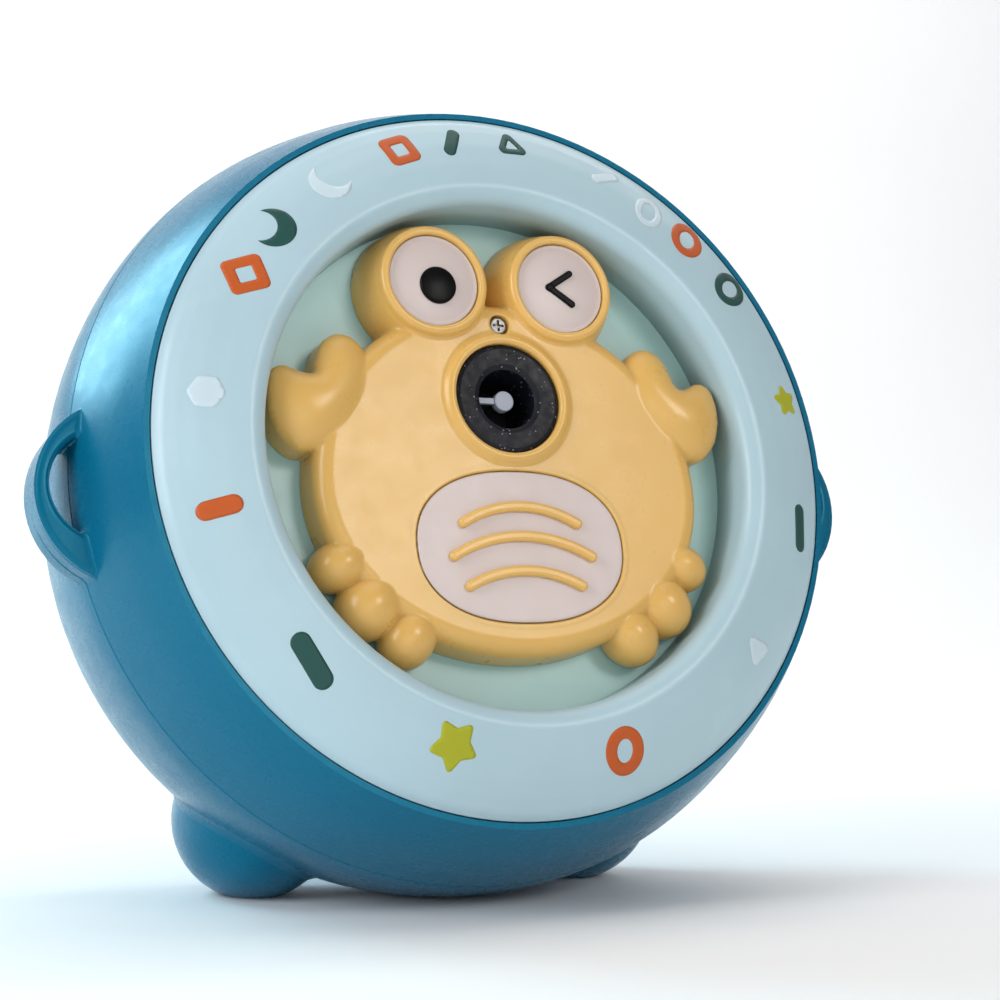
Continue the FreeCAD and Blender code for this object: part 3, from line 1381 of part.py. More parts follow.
CELL_RADIUS = 7.1
CELL_PITCH = 14.6
CELL_LEVEL = -97.6
CELL_LOW = -15.6
CELL_HIGH = 33.0


def make_battery_box():
    back = -S["back_depth"] + S["shell_wall"]
    front = -88.0
    outer = box_primitive((-32.5, -22.0, back), (32.5, 38.5, front))
    inner = box_primitive((-30.9, -20.4, back - 1.0), (30.9, 36.9, front - 1.6))
    keep(without(outer, [inner]), "battery_box")
    cells = []
    contacts = []
    for number in range(4):
        x = CELL_PITCH * (number - 1.5)
        up = 1 if number % 2 else -1
        low = CELL_LOW
        cell = Part.makeCylinder(CELL_RADIUS, CELL_HIGH - low, V(x, low, CELL_LEVEL), Y_AXIS)
        ends = [edge for edge in cell.Edges if edge.BoundBox.YLength < 1e-6]
        cell = cell.makeFillet(0.6, ends)
        top = CELL_HIGH if up > 0 else low
        nub = Part.makeCylinder(2.6, 1.2, V(x, top, CELL_LEVEL), Y_AXIS * up)
        cells.append(cell.fuse(nub))
        plate_y = 36.9 if up > 0 else -20.4
        plate = Part.makeBox(9.0, 0.6, 9.0, V(x - 4.5, plate_y - (0.6 if up > 0 else 0.0),
                                              CELL_LEVEL - 4.5))
        reach = (36.3 - CELL_HIGH - 1.2) if up > 0 else (low - 1.2 + 19.8)
        start = V(x, 36.3, CELL_LEVEL) if up > 0 else V(x, -19.8, CELL_LEVEL)
        pad = Part.makeCylinder(2.0, reach, start, Y_AXIS * -up)
        contacts.append(plate.fuse(pad))
        spring_y = -20.4 if up > 0 else 36.9
        spring_reach = (low + 20.4) if up > 0 else (36.9 - CELL_HIGH)
        spring = Part.makeCone(4.6, 2.8, spring_reach, V(x, spring_y, CELL_LEVEL), Y_AXIS * up)
        core = Part.makeCone(3.6, 1.8, spring_reach, V(x, spring_y, CELL_LEVEL), Y_AXIS * up)
        contacts.append(spring.cut(core))
    keep(group_of("batteries", cells), "batteries")
    keep(group_of("battery_contacts", contacts), "battery_contacts")


def make_battery_door():
    gap = S["door_gap"]
    back = -S["back_depth"]
    body = new_body("battery_door")
    sketch = new_sketch(body, "XY_Plane", back)
    add_rectangle(sketch, -S["door_half_width"] + gap, S["door_low"] + gap,
                  S["door_half_width"] - gap, S["door_high"] - gap)
    grow(body, sketch, S["shell_wall"] - 0.1)
    for number in range(3):
        rise = S["door_high"] - 22.0 - 5.0 * number
        sketch = new_sketch(body, "XY_Plane", back)
        add_rectangle(sketch, -S["door_half_width"] + 8.0, rise - 1.0,
                      S["door_half_width"] - 8.0, rise + 1.0)
        sink(body, sketch, 0.8, upwards=True)
    sketch = new_sketch(body, "XY_Plane", back)
    add_circle(sketch, 0, S["door_high"] - 6.0, 3.3)
    sink(body, sketch, 1.5, upwards=True)
    sketch = new_sketch(body, "XY_Plane", back)
    add_circle(sketch, 0, S["door_high"] - 6.0, 1.3)
    sink(body, sketch, 5.0, upwards=True)
    keep(body, "battery_door")
    spot = V(0, S["door_high"].value - 6.0, back.value + 1.5)
    screw = cross_screw(2.9, 1.3, 1.2, 2.4, spot, outwards=-1)
    keep(group_of("battery_door_screw", [screw]), "battery_door_screw")


def make_buttons():
    for name, side in (("power_button", -1), ("music_button", 1)):
        body = turned_body(name, (0.0, -111.4), [
            (S["button_radius"] - 1.0, -111.4),
            (S["button_radius"], -110.4, (S["button_radius"].value - 0.3, -111.1)),
            (S["button_radius"], -107.3), (7.5, -107.3), (7.5, -105.6), (2.0, -105.6),
            (2.0, -103.4), (0.0, -103.4)])
        keep(body, name, V(side * S["button_spread"].value, S["button_rise"].value, 0))


def make_board():
    spread = S["button_spread"]
    rise = S["button_rise"]
    pieces = [box_primitive((-25.5, 41.0, -99.7), (25.5, 61.5, -98.1))]
    for side in (-1, 1):
        x = spread * side
        pieces.append(box_primitive((x - 3.0, rise - 3.0, -101.8), (x + 3.0, rise + 3.0, -99.6)))
        pieces.append(tube_primitive(1.6, 0.8, V(x.value, rise.value, -102.1)))
    pieces.append(box_primitive((-5.0, 48.0, -98.2), (5.0, 54.0, -96.4)))
    pieces.append(tube_primitive(3.0, 7.0, V(14.0, 50.0, -98.2)))
    pieces.append(tube_primitive(2.5, 6.0, V(-14.0, 52.0, -98.2)))
    pieces.append(box_primitive((-22.0, 44.0, -98.2), (-19.0, 50.0, -94.0)))
    keep(joined(pieces), "control_board")


def make_speaker():
    spot = V(S["grille_spread"].value, S["grille_rise"].value, 0)
    frame = tube_primitive(13.0, 2.2, spot + V(0, 0, -106.6))
    cone = document.addObject("Part::Cone", "Cone")
    cone.Radius1 = 12.0
    cone.Radius2 = 7.5
    cone.Height = 3.6
    cone.Placement = FreeCAD.Placement(spot + V(0, 0, -104.4), FreeCAD.Rotation())
    magnet = tube_primitive(7.5, 4.0, spot + V(0, 0, -100.8))
    hollow = document.addObject("Part::Cone", "Cone")
    hollow.Radius1 = 10.6
    hollow.Radius2 = 4.0
    hollow.Height = 4.6
    hollow.Placement = FreeCAD.Placement(spot + V(0, 0, -106.6), FreeCAD.Rotation())
    keep(without(joined([frame, cone, magnet]), [hollow]), "speaker")


def make_eye_lamps():
    """Two lamps on their little boards behind the eye whites."""
    lamps = []
    for side in (-1, 1):
        x = side * S["eye_spread"].value
        y = S["eye_rise"].value
        front = -S["recess_depth"].value
        board = Part.makeBox(12.0, 12.0, 1.2, V(x - 6.0, y - 6.0, front))
        lens = Part.makeCylinder(2.5, 3.6, V(x, y, front + 1.2))
        dome = Part.makeSphere(2.5, V(x, y, front + 4.8))
        lamps.append(board.multiFuse([lens, dome]))
    keep(group_of("eye_lamps", lamps), "eye_lamps")


def check_and_export():
    document.recompute()
    bad = [item.Name for item in document.Objects
           if "Invalid" in item.State or "Error" in item.State]
    if bad:
        raise RuntimeError(f"failed objects: {bad}")
    os.makedirs("parts", exist_ok=True)
    names = set()
    for item in parts:
        shape = item.Shape
        if shape.isNull() or not shape.isValid() or not shape.Solids:
            raise RuntimeError(f"{item.Label} has no valid solid")
        if item.Label in names:
            raise RuntimeError(f"{item.Label} is named twice")
        names.add(item.Label)
        shape.exportStep(f"parts/{item.Label}.step")
    print(f"{len(parts)} sub-parts")


make_front_ring()
make_recess_panel()
make_crab_cover()
make_eye_white("eye_white_left", -1, pupil_mark)
make_eye_white("eye_white_right", 1, wink_mark)
make_pupil()
make_wink()
make_belly()
make_nozzle()
make_front_shell()
make_rear_shell()
make_gears()
make_shafts()
make_wiper_arm()
make_chassis()
make_gear_cover()
make_plenum()
make_blower()
make_impeller()
make_motors()
make_pump()
make_hoses()
make_tank()
make_filler_cap()
make_battery_box()
make_battery_door()
make_buttons()
make_board()
make_speaker()
make_eye_lamps()
make_screws()
check_and_export()
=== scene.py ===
"""Looks of the tabletop bubble machine with a crab face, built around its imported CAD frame.

Pieces are laid out in millimetres in the face frame: X to the right, Y up the round face,
Z out of the face, with the origin at the centre of the ring's rim circle.  FACE carries
them into the row frame, in metres.
"""
import json
import math

import bpy
import numpy as np
from mathutils import Matrix, Vector
from mathutils.geometry import delaunay_2d_cdt


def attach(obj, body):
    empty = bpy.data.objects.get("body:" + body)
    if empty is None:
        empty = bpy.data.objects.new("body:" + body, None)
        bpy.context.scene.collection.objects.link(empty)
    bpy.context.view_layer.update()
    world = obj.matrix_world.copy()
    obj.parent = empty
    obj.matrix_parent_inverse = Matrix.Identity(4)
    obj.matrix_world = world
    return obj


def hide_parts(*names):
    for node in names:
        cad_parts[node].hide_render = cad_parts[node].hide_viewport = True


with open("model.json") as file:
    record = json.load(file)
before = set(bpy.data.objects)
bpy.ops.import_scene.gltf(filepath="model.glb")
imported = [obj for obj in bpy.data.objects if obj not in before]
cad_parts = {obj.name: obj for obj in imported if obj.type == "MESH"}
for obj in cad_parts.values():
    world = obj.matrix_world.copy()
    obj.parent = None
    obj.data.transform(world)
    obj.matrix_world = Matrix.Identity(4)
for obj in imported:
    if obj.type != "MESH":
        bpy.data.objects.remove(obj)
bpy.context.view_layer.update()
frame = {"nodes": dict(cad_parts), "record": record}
scene = bpy.context.scene

LEAN = math.radians(77.0)                # how far the face plane is turned up from the floor
FACE_ORIGIN = (0.0, -0.047845, 0.1166)   # centre of the ring's rim circle, in metres
FACE = (Matrix.Translation(FACE_ORIGIN) @ Matrix.Rotation(LEAN, 4, "X")
        @ Matrix.Scale(0.001, 4))


# ---------------------------------------------------------------- material helpers

class Nodes:
    """A material's node tree with short calls for the nodes used here."""

    def __init__(self, name):
        self.material = bpy.data.materials.new(name)
        self.material.use_nodes = True
        self.tree = self.material.node_tree
        self.shader = self.tree.nodes["Principled BSDF"]
        place = self.tree.nodes.new("ShaderNodeTexCoord")
        self.place = place.outputs["Object"]

    def add(self, kind, **inputs):
        """New node with those input values."""
        node = self.tree.nodes.new(kind)
        for key, value in inputs.items():
            node.inputs[key.replace("_", " ")].default_value = value
        return node

    def link(self, source, target):
        self.tree.links.new(source, target)

    def noise(self, scale, detail=2.0, rough=0.5, source=None):
        """Noise value over the object's own coordinates or another source."""
        node = self.add("ShaderNodeTexNoise", Scale=scale, Detail=detail, Roughness=rough)
        self.link(source or self.place, node.inputs["Vector"])
        return node.outputs["Fac"]

    def band(self, source, low, high, to_low=0.0, to_high=1.0):
        """The source's range low to high carried to another range."""
        node = self.tree.nodes.new("ShaderNodeMapRange")
        node.inputs["From Min"].default_value = low
        node.inputs["From Max"].default_value = high
        node.inputs["To Min"].default_value = to_low
        node.inputs["To Max"].default_value = to_high
        self.link(source, node.inputs["Value"])
        return node.outputs["Result"]

    def blend(self, factor, first, second):
        """Colour between two colours or sockets."""
        node = self.tree.nodes.new("ShaderNodeMix")
        node.data_type = "RGBA"
        if isinstance(factor, float):
            node.inputs["Factor"].default_value = factor
        else:
            self.link(factor, node.inputs["Factor"])
        for socket, value in ((node.inputs[6], first), (node.inputs[7], second)):
            if isinstance(value, tuple):
                socket.default_value = (*value, 1.0)
            else:
                self.link(value, socket)
        return node.outputs[2]

    def bump(self, height, strength, distance, normal=None):
        node = self.add("ShaderNodeBump", Strength=strength, Distance=distance)
        self.link(height, node.inputs["Height"])
        if normal is not None:
            self.link(normal, node.inputs["Normal"])
        return node.outputs["Normal"]

    def set(self, **values):
        for key, value in values.items():
            self.shader.inputs[key.replace("_", " ")].default_value = value

    def feed(self, key, source):
        self.link(source, self.shader.inputs[key])


def srgb(red, green, blue):
    """Linear colour from 0-255 display values."""
    def linear(value):
        value /= 255.0
        return value / 12.92 if value <= 0.04045 else ((value + 0.055) / 1.055) ** 2.4
    return (linear(red), linear(green), linear(blue))


def plastic(name, colour, roughness=0.32, grain=0.25, grain_size=2600.0, under=0.0,
            under_radius=(1.0, 0.6, 0.3), coat=0.0, mottle=0.035, wear=0.06, painted_crease_shade=0.35,
            shine=0.5, glint=(1.0, 1.0, 1.0)):
    """Moulded plastic: fine tool texture, slight flow mottling, faint handling marks, and painted
    shade darkening its concave creases.
    """
    made = Nodes(name)
    flow = made.noise(22.0, 3.0, 0.55)
    lighter = tuple(min(1.0, value * (1.0 + mottle) + 0.002) for value in colour)
    darker = tuple(value * (1.0 - mottle) for value in colour)
    tint = made.blend(made.band(flow, 0.3, 0.7), darker, lighter)
    curved = made.tree.nodes.new("ShaderNodeNewGeometry").outputs["Pointiness"]
    edge = made.band(curved, 0.505, 0.56, 0.0, wear)
    tint = made.blend(edge, tint, tuple(min(1.0, value * 1.25 + 0.03) for value in colour))
    # painted shade: concave creases (low pointiness) darkened towards 0.72 of the colour, standing
    # in for shadow
    crease_shade_mask = made.band(curved, 0.44, 0.495, painted_crease_shade, 0.0)
    tint = made.blend(crease_shade_mask, tint, tuple(value * 0.72 for value in colour))
    made.feed("Base Color", tint)
    rub = made.noise(160.0, 4.0, 0.65)
    made.feed("Roughness", made.band(rub, 0.35, 0.7, roughness - 0.035, roughness + 0.06))
    texture = made.noise(grain_size, 1.0, 0.4)
    wavy = made.noise(60.0, 1.0, 0.4)
    soft = made.bump(wavy, 0.03, 0.0004)
    made.feed("Normal", made.bump(texture, grain, 0.00003, soft))
    made.set(Subsurface_Weight=under, Subsurface_Radius=under_radius, Subsurface_Scale=0.003)
    made.set(Coat_Weight=coat, Coat_Roughness=0.12, IOR=1.47, Specular_IOR_Level=shine)
    made.set(Specular_Tint=(*glint, 1.0))
    return made.material


def metal(name, colour, roughness=0.28, lines=0.3):
    """Plated or rolled steel with fine machining lines and small dull patches."""
    made = Nodes(name)
    stretch = made.tree.nodes.new("ShaderNodeMapping")
    stretch.inputs["Scale"].default_value = (1.0, 1.0, 14.0)
    made.link(made.place, stretch.inputs["Vector"])
    streak = made.noise(700.0, 3.0, 0.6, stretch.outputs["Vector"])
    patch = made.noise(120.0, 3.0, 0.6)
    dull = tuple(value * 0.7 for value in colour)
    made.feed("Base Color", made.blend(made.band(patch, 0.35, 0.75), colour, dull))
    made.feed("Roughness", made.band(streak, 0.3, 0.7, roughness - 0.08, roughness + 0.14))
    made.feed("Normal", made.bump(streak, lines, 0.00002))
    made.set(Metallic=1.0)
    return made.material


def soft_rubber(name, colour, roughness=0.5, clear=0.0):
    made = Nodes(name)
    cloud = made.noise(90.0, 3.0, 0.6)
    made.feed("Base Color", made.blend(made.band(cloud, 0.3, 0.7), colour,
                                       tuple(value * 0.88 for value in colour)))
    made.feed("Roughness", made.band(cloud, 0.3, 0.7, roughness - 0.06, roughness + 0.08))
    made.feed("Normal", made.bump(made.noise(1500.0), 0.15, 0.00003))
    made.set(Transmission_Weight=clear, IOR=1.42)
    return made.material


def speckled_black():
    """Dark moulded nozzle: matte grain with pale dust and a few glinting points."""
    made = Nodes("nozzle_black")
    base = made.blend(made.band(made.noise(150.0, 4.0, 0.6), 0.35, 0.7),
                      srgb(9, 10, 17), srgb(20, 22, 32))
    cells = made.add("ShaderNodeTexVoronoi", Scale=1000.0)
    made.link(made.place, cells.inputs["Vector"])
    dust = made.band(cells.outputs["Distance"], 0.15, 0.24, 1.0, 0.0)
    sparse = made.band(made.noise(520.0, 2.0, 0.5), 0.50, 0.60)
    both = made.tree.nodes.new("ShaderNodeMath")
    both.operation = "MULTIPLY"
    made.link(dust, both.inputs[0])
    made.link(sparse, both.inputs[1])
    made.feed("Base Color", made.blend(both.outputs[0], base, srgb(136, 138, 150)))
    made.set(Specular_IOR_Level=0.26)
    made.feed("Roughness", made.band(made.noise(420.0, 3.0), 0.3, 0.7, 0.34, 0.52))
    made.feed("Normal", made.bump(made.noise(1900.0, 2.0), 0.45, 0.00006))
    return made.material


def battery_sleeve():
    """Shrink sleeve of a dry cell: dark wrap with a copper-coloured end band."""
    made = Nodes("battery_sleeve")
    parts = made.tree.nodes.new("ShaderNodeSeparateXYZ")
    made.link(made.place, parts.inputs["Vector"])
    band = made.band(parts.outputs["Z"], 0.1420, 0.1424)
    made.feed("Base Color", made.blend(band, srgb(46, 50, 54), srgb(176, 120, 62)))
    made.feed("Roughness", made.band(made.noise(260.0, 3.0), 0.3, 0.7, 0.24, 0.40))
    made.feed("Normal", made.bump(made.noise(900.0), 0.1, 0.00003))
    made.set(Metallic=0.35, Coat_Weight=0.3, Coat_Roughness=0.1)
    return made.material


def circuit_board():
    """Solder-masked laminate with pale tracks and plated dots."""
    made = Nodes("circuit_board")
    cells = made.add("ShaderNodeTexVoronoi", Scale=260.0)
    cells.feature = "DISTANCE_TO_EDGE"
    made.link(made.place, cells.inputs["Vector"])
    tracks = made.band(cells.outputs["Distance"], 0.02, 0.05, 1.0, 0.0)
    green = made.blend(tracks, srgb(18, 92, 52), srgb(40, 128, 76))
    dots = made.add("ShaderNodeTexVoronoi", Scale=420.0)
    made.link(made.place, dots.inputs["Vector"])
    pads = made.band(dots.outputs["Distance"], 0.16, 0.2, 1.0, 0.0)
    made.feed("Base Color", made.blend(pads, green, srgb(196, 190, 170)))
    made.feed("Roughness", made.band(made.noise(300.0), 0.3, 0.7, 0.3, 0.45))
    made.feed("Normal", made.bump(tracks, 0.3, 0.00004))
    return made.material


YELLOW = srgb(219, 174, 94)
CYAN = srgb(172, 198, 208)
TEAL = srgb(168, 204, 202)
BLUE = srgb(0, 96, 128)

looks = {
    "shell_blue": plastic("shell_blue", BLUE, 0.27, 0.06, 1500.0, mottle=0.03, wear=0.0,
                          painted_crease_shade=0.0, shine=0.5, glint=(0.22, 0.80, 1.0)),
    "ring_cyan": plastic("ring_cyan", CYAN, 0.38, 0.18, under=0.12,
                         under_radius=(0.6, 0.9, 1.0), coat=0.12),
    "panel_teal": plastic("panel_teal", TEAL, 0.34, 0.2, under=0.08,
                          under_radius=(0.5, 1.0, 0.8), coat=0.08),
    "crab_yellow": plastic("crab_yellow", YELLOW, 0.30, 0.16, under=0.22, coat=0.15),
    "face_white": plastic("face_white", srgb(206, 190, 186), 0.36, 0.2, under=0.15),
    "nozzle_black": speckled_black(),
    "gloss_black": plastic("gloss_black", srgb(2, 2, 4), 0.30, 0.05, mottle=0.2, wear=0.0,
                           shine=0.12),
    "steel": metal("steel", (0.62, 0.62, 0.64)),
    "screw_head": metal("screw_head", (0.30, 0.29, 0.28), 0.34, 0.5),
    "gear_white": plastic("gear_white", srgb(226, 224, 212), 0.42, 0.3, under=0.2),
    "arm_grey": plastic("arm_grey", srgb(150, 156, 170), 0.34, 0.3, mottle=0.12),
    "chassis_grey": plastic("chassis_grey", srgb(120, 122, 126), 0.5, 0.5, 1400.0),
    "motor_metal": metal("motor_metal", (0.52, 0.52, 0.55), 0.36, 0.5),
    "hose_clear": soft_rubber("hose_clear", srgb(224, 224, 214), 0.35, 0.35),
    "tank_clear": soft_rubber("tank_clear", srgb(214, 228, 236), 0.3, 0.55),
    "battery": battery_sleeve(),
    "contact": metal("contact", (0.70, 0.66, 0.52), 0.3, 0.2),
    "board_green": circuit_board(),
    "speaker_black": soft_rubber("speaker_black", srgb(34, 34, 36), 0.6),
    "lamp_clear": soft_rubber("lamp_clear", srgb(238, 240, 244), 0.12, 0.6),
    "button_cyan": plastic("button_cyan", CYAN, 0.32, 0.2, under=0.1, coat=0.1),
    "cap_teal": soft_rubber("cap_teal", TEAL, 0.5),
    "print_orange": plastic("print_orange", srgb(186, 80, 8), 0.5, 0.1, mottle=0.06),
    "print_green": plastic("print_green", srgb(0, 66, 60), 0.5, 0.1, mottle=0.08),
    "print_lime": plastic("print_lime", srgb(164, 166, 8), 0.42, 0.1, mottle=0.06),
    "print_pale": plastic("print_pale", srgb(194, 211, 220), 0.36, 0.1, mottle=0.03),
}

for row in frame["record"]["subparts"]:
    node = frame["nodes"][row["node"]]
    node.data.materials.clear()
    look = "screw_head" if row["node"] == "crab_screw" else row["material_slot"]
    node.data.materials.append(looks[look])


# ---------------------------------------------------------------- mesh helpers

def piece(name, points, faces, body, slot, material=None):
    """A mesh given in face millimetres, riding on a body."""
    mesh = bpy.data.meshes.new(name)
    mesh.from_pydata([tuple(point) for point in points], [], [tuple(f) for f in faces])
    mesh.transform(FACE)
    mesh.polygons.foreach_set("use_smooth", [True] * len(mesh.polygons))
    mesh.materials.append(looks[material or slot])
    mesh.update()
    made = bpy.data.objects.new(name, mesh)
    scene.collection.objects.link(made)
    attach(made, body)
    return made


def arc_points(centre, radius, start, finish, count):
    angles = np.radians(np.linspace(start, finish, count))
    return [(centre[0] + radius * math.cos(a), centre[1] + radius * math.sin(a))
            for a in angles]


def rounded(corners, closed=True, steps=6):
    """Outline with each corner (x, y, radius) turned into an arc."""
    made = []
    count = len(corners)
    for number, (x, y, radius) in enumerate(corners):
        here = np.array((x, y), float)
        if radius <= 0 or (not closed and number in (0, count - 1)):
            made.append((x, y))
            continue
        before = np.array(corners[number - 1][:2], float) - here
        after = np.array(corners[(number + 1) % count][:2], float) - here
        room = min(np.linalg.norm(before), np.linalg.norm(after)) * 0.49
        before /= np.linalg.norm(before)
        after /= np.linalg.norm(after)
        half = math.acos(max(-1.0, min(1.0, float(before @ after)))) / 2
        if half > math.radians(88.5):
            made.append((x, y))
            continue
        reach = min(radius / math.tan(half), room)
        radius = reach * math.tan(half)
        middle = (before + after) / np.linalg.norm(before + after)
        centre = here + middle * radius / math.sin(half)
        first = here + before * reach - centre
        last = here + after * reach - centre
        start = math.atan2(first[1], first[0])
        swing = math.atan2(last[1], last[0]) - start
        swing = (swing + math.pi) % (2 * math.pi) - math.pi
        for step in range(steps + 1):
            angle = start + swing * step / steps
            made.append((centre[0] + radius * math.cos(angle),
                         centre[1] + radius * math.sin(angle)))
    return made


def turned(profile, segments=192, centre=(0.0, 0.0)):
    """Points and faces of a closed (radius, height) profile turned about Z."""
    points, faces = [], []
    rows = []
    for radius, height in profile:
        if radius < 1e-6:
            rows.append([len(points)] * segments)
            points.append((centre[0], centre[1], height))
            continue
        rows.append(list(range(len(points), len(points) + segments)))
        for number in range(segments):
            angle = 2 * math.pi * number / segments
            points.append((centre[0] + radius * math.cos(angle),
                           centre[1] + radius * math.sin(angle), height))
    for number in range(len(rows)):
        low, high = rows[number], rows[(number + 1) % len(rows)]
        for step in range(segments):
            after = (step + 1) % segments
            corners = []
            for corner in (low[step], low[after], high[after], high[step]):
                if corner not in corners:
                    corners.append(corner)
            if len(corners) > 2:
                faces.append(corners)
    return points, faces


# ---------------------------------------------------------------- distance fields

def union_round(a, b, radius):
    """Join of two distances with a fillet of that radius."""
    u = np.maximum(radius - a, 0.0)
    v = np.maximum(radius - b, 0.0)
    return np.maximum(radius, np.minimum(a, b)) - np.hypot(u, v)


def cut_round(a, b, radius):
    """What is inside both distances, with the edge between them rounded."""
    u = np.maximum(radius + a, 0.0)
    v = np.maximum(radius + b, 0.0)
    return np.minimum(-radius, np.maximum(a, b)) + np.hypot(u, v)


def ellipsoid_distance(p, centre, radii, turn=0.0):
    c, s = math.cos(turn), math.sin(turn)
    x = (p[..., 0] - centre[0]) * c + (p[..., 1] - centre[1]) * s
    y = -(p[..., 0] - centre[0]) * s + (p[..., 1] - centre[1]) * c
    z = p[..., 2] - centre[2]
    near = np.sqrt((x / radii[0]) ** 2 + (y / radii[1]) ** 2 + (z / radii[2]) ** 2)
    slope = np.sqrt((x / radii[0]**2) ** 2 + (y / radii[1]**2) ** 2 + (z / radii[2]**2) ** 2)
    return near * (near - 1.0) / np.maximum(slope, 1e-9)


def surface_net(distance, low, high, step):
    """Smooth mesh round the zero level of a distance function, inside a box."""
    counts = [int(math.ceil((b - a) / step)) + 1 for a, b in zip(low, high)]
    axes = [low[i] + step * np.arange(counts[i]) for i in range(3)]
    grid = np.stack(np.meshgrid(*axes, indexing="ij"), -1)
    field = distance(grid.reshape(-1, 3)).reshape(counts)
    inside = field < 0
    offsets = [(i, j, k) for i in (0, 1) for j in (0, 1) for k in (0, 1)]
    size = [count - 1 for count in counts]
    total = np.zeros(size, int)
    for i, j, k in offsets:
        total += inside[i:i + size[0], j:j + size[1], k:k + size[2]]
    crossed = (total > 0) & (total < 8)
    cells = np.argwhere(crossed)
    index = -np.ones(size, int)
    index[crossed] = np.arange(len(cells))
    place = np.zeros((len(cells), 3))
    hits = np.zeros(len(cells))
    for first in offsets:
        for axis in range(3):
            if first[axis]:
                continue
            along = np.zeros(3, int)
            along[axis] = 1
            a = cells + np.array(first)
            b = a + along
            one = field[a[:, 0], a[:, 1], a[:, 2]]
            two = field[b[:, 0], b[:, 1], b[:, 2]]
            cross = (one < 0) != (two < 0)
            share = np.where(cross, one / np.where(cross, one - two, 1.0), 0.0)
            place += cross[:, None] * (np.array(first) + share[:, None] * along)
            hits += cross
    points = np.array(low) + step * (cells + place / hits[:, None])
    faces = []
    for axis in range(3):
        u, v = (axis + 1) % 3, (axis + 2) % 3
        one = np.take(inside, range(counts[axis] - 1), axis)
        two = np.take(inside, range(1, counts[axis]), axis)
        edges = np.argwhere(one != two)
        good = ((edges[:, u] > 0) & (edges[:, v] > 0)
                & (edges[:, u] < size[u]) & (edges[:, v] < size[v]))
        edges = edges[good]
        back_u = np.zeros(3, int)
        back_v = np.zeros(3, int)
        back_u[u] = 1
        back_v[v] = 1
        ring = [edges, edges - back_u, edges - back_u - back_v, edges - back_v]
        quad = np.stack([index[c[:, 0], c[:, 1], c[:, 2]] for c in ring], 1)
        flip = ~one[edges[:, 0], edges[:, 1], edges[:, 2]]
        quad[flip] = quad[flip][:, ::-1]
        faces.append(quad)
    for unused in range(2):
        here = distance(points)
        slope = np.zeros_like(points)
        for axis in range(3):
            nudge = np.zeros(3)
            nudge[axis] = 0.02
            slope[:, axis] = (distance(points + nudge) - distance(points - nudge)) / 0.04
        steep = np.maximum((slope ** 2).sum(1), 0.25)
        move = slope * (here / steep)[:, None]
        reach = np.linalg.norm(move, axis=1)
        move *= np.minimum(1.0, 0.6 * step / np.maximum(reach, 1e-9))[:, None]
        points = points - move
    return points, np.concatenate(faces)


# ---------------------------------------------------------------- the crab moulding

FLOOR = -7.0                    # back of the moulding, on the recess panel
FRONT = 4.5                     # flat front of the crab's body
BODY_MIDDLE = -9.0              # height up the face of the body's widest line
BODY_HALF_WIDTH = 54.2
BODY_ABOVE, BODY_BELOW = 50.0, 44.3
BODY_EDGE = 4.4
BODY_DRAFT = 0.06
NOZZLE = (0.0, 14.5)
NOZZLE_OUTER, NOZZLE_BORE = 14.6, 7.9
BEAD_RADIUS, BEAD_THICK = 15.9, 1.55
EYES = ((-18.2, 45.4), (18.2, 45.4))
EYE_FRONT = 6.35
EYE_RADIUS = 15.4
EYE_LIP_RADIUS, EYE_LIP_THICK = 13.5, 1.4
EYE_SOCKET_RADIUS, EYE_SOCKET_FLOOR = 12.55, 4.7
DISC_RADIUS = 12.4
RECESS_CLEAR = 66.1             # the recess wall's radius less a small gap
SCREW = (0.0, 34.8)
SCREW_WELL = 2.75
BELLY_HALF = (28.7, 19.7)
BELLY_MIDDLE = -24.8
BELLY_POWER = 2.3               # superellipse power of the belly plate's outline
LEG_MIDDLE = -2.2
LEGS = ((48.0, -28.9, 8.1, 6.4, 7.8), (41.3, -39.5, 8.9, 8.0, 8.7), (31.3, -47.2, 8.5, 7.2, 7.8))
CLAW = [(55.8, -0.3), (61.0, 3.0), (63.7, 8.8), (64.1, 15.2), (62.9, 20.3), (59.6, 22.0),
        (55.2, 20.3), (51.9, 20.0), (50.8, 23.6), (49.0, 28.0), (45.4, 30.7), (41.2, 30.4),
        (38.0, 27.2), (36.9, 21.8), (38.3, 15.0), (42.4, 8.2), (48.8, 2.1)]


def closed_curve(points, steps=14):
    """Smooth closed line through points (Catmull-Rom)."""
    points = np.array(points, float)
    made = []
    count = len(points)
    for number in range(count):
        a, b, c, d = (points[(number + k) % count] for k in (-1, 0, 1, 2))
        for step in range(steps):
            t = step / steps
            made.append(0.5 * (2 * b + (c - a) * t + (2 * a - 5 * b + 4 * c - d) * t * t
                               + (3 * b - a - 3 * c + d) * t ** 3))
    return np.array(made)


def polygon_distance(p, outline):
    """Signed distance of 2D points to a closed polygon, negative inside."""
    best = np.full(len(p), 1e9)
    inside = np.zeros(len(p), bool)
    for a, b in zip(outline, np.roll(outline, -1, axis=0)):
        edge = b - a
        away = p - a
        share = np.clip((away @ edge) / (edge @ edge + 1e-12), 0.0, 1.0)
        gap = away - share[:, None] * edge
        best = np.minimum(best, (gap ** 2).sum(1))
        rising = (a[1] > p[:, 1]) != (b[1] > p[:, 1])
        if abs(edge[1]) > 1e-12:
            inside ^= rising & (p[:, 0] < a[0] + edge[0] * (p[:, 1] - a[1]) / edge[1])
    return np.where(inside, -1.0, 1.0) * np.sqrt(best)


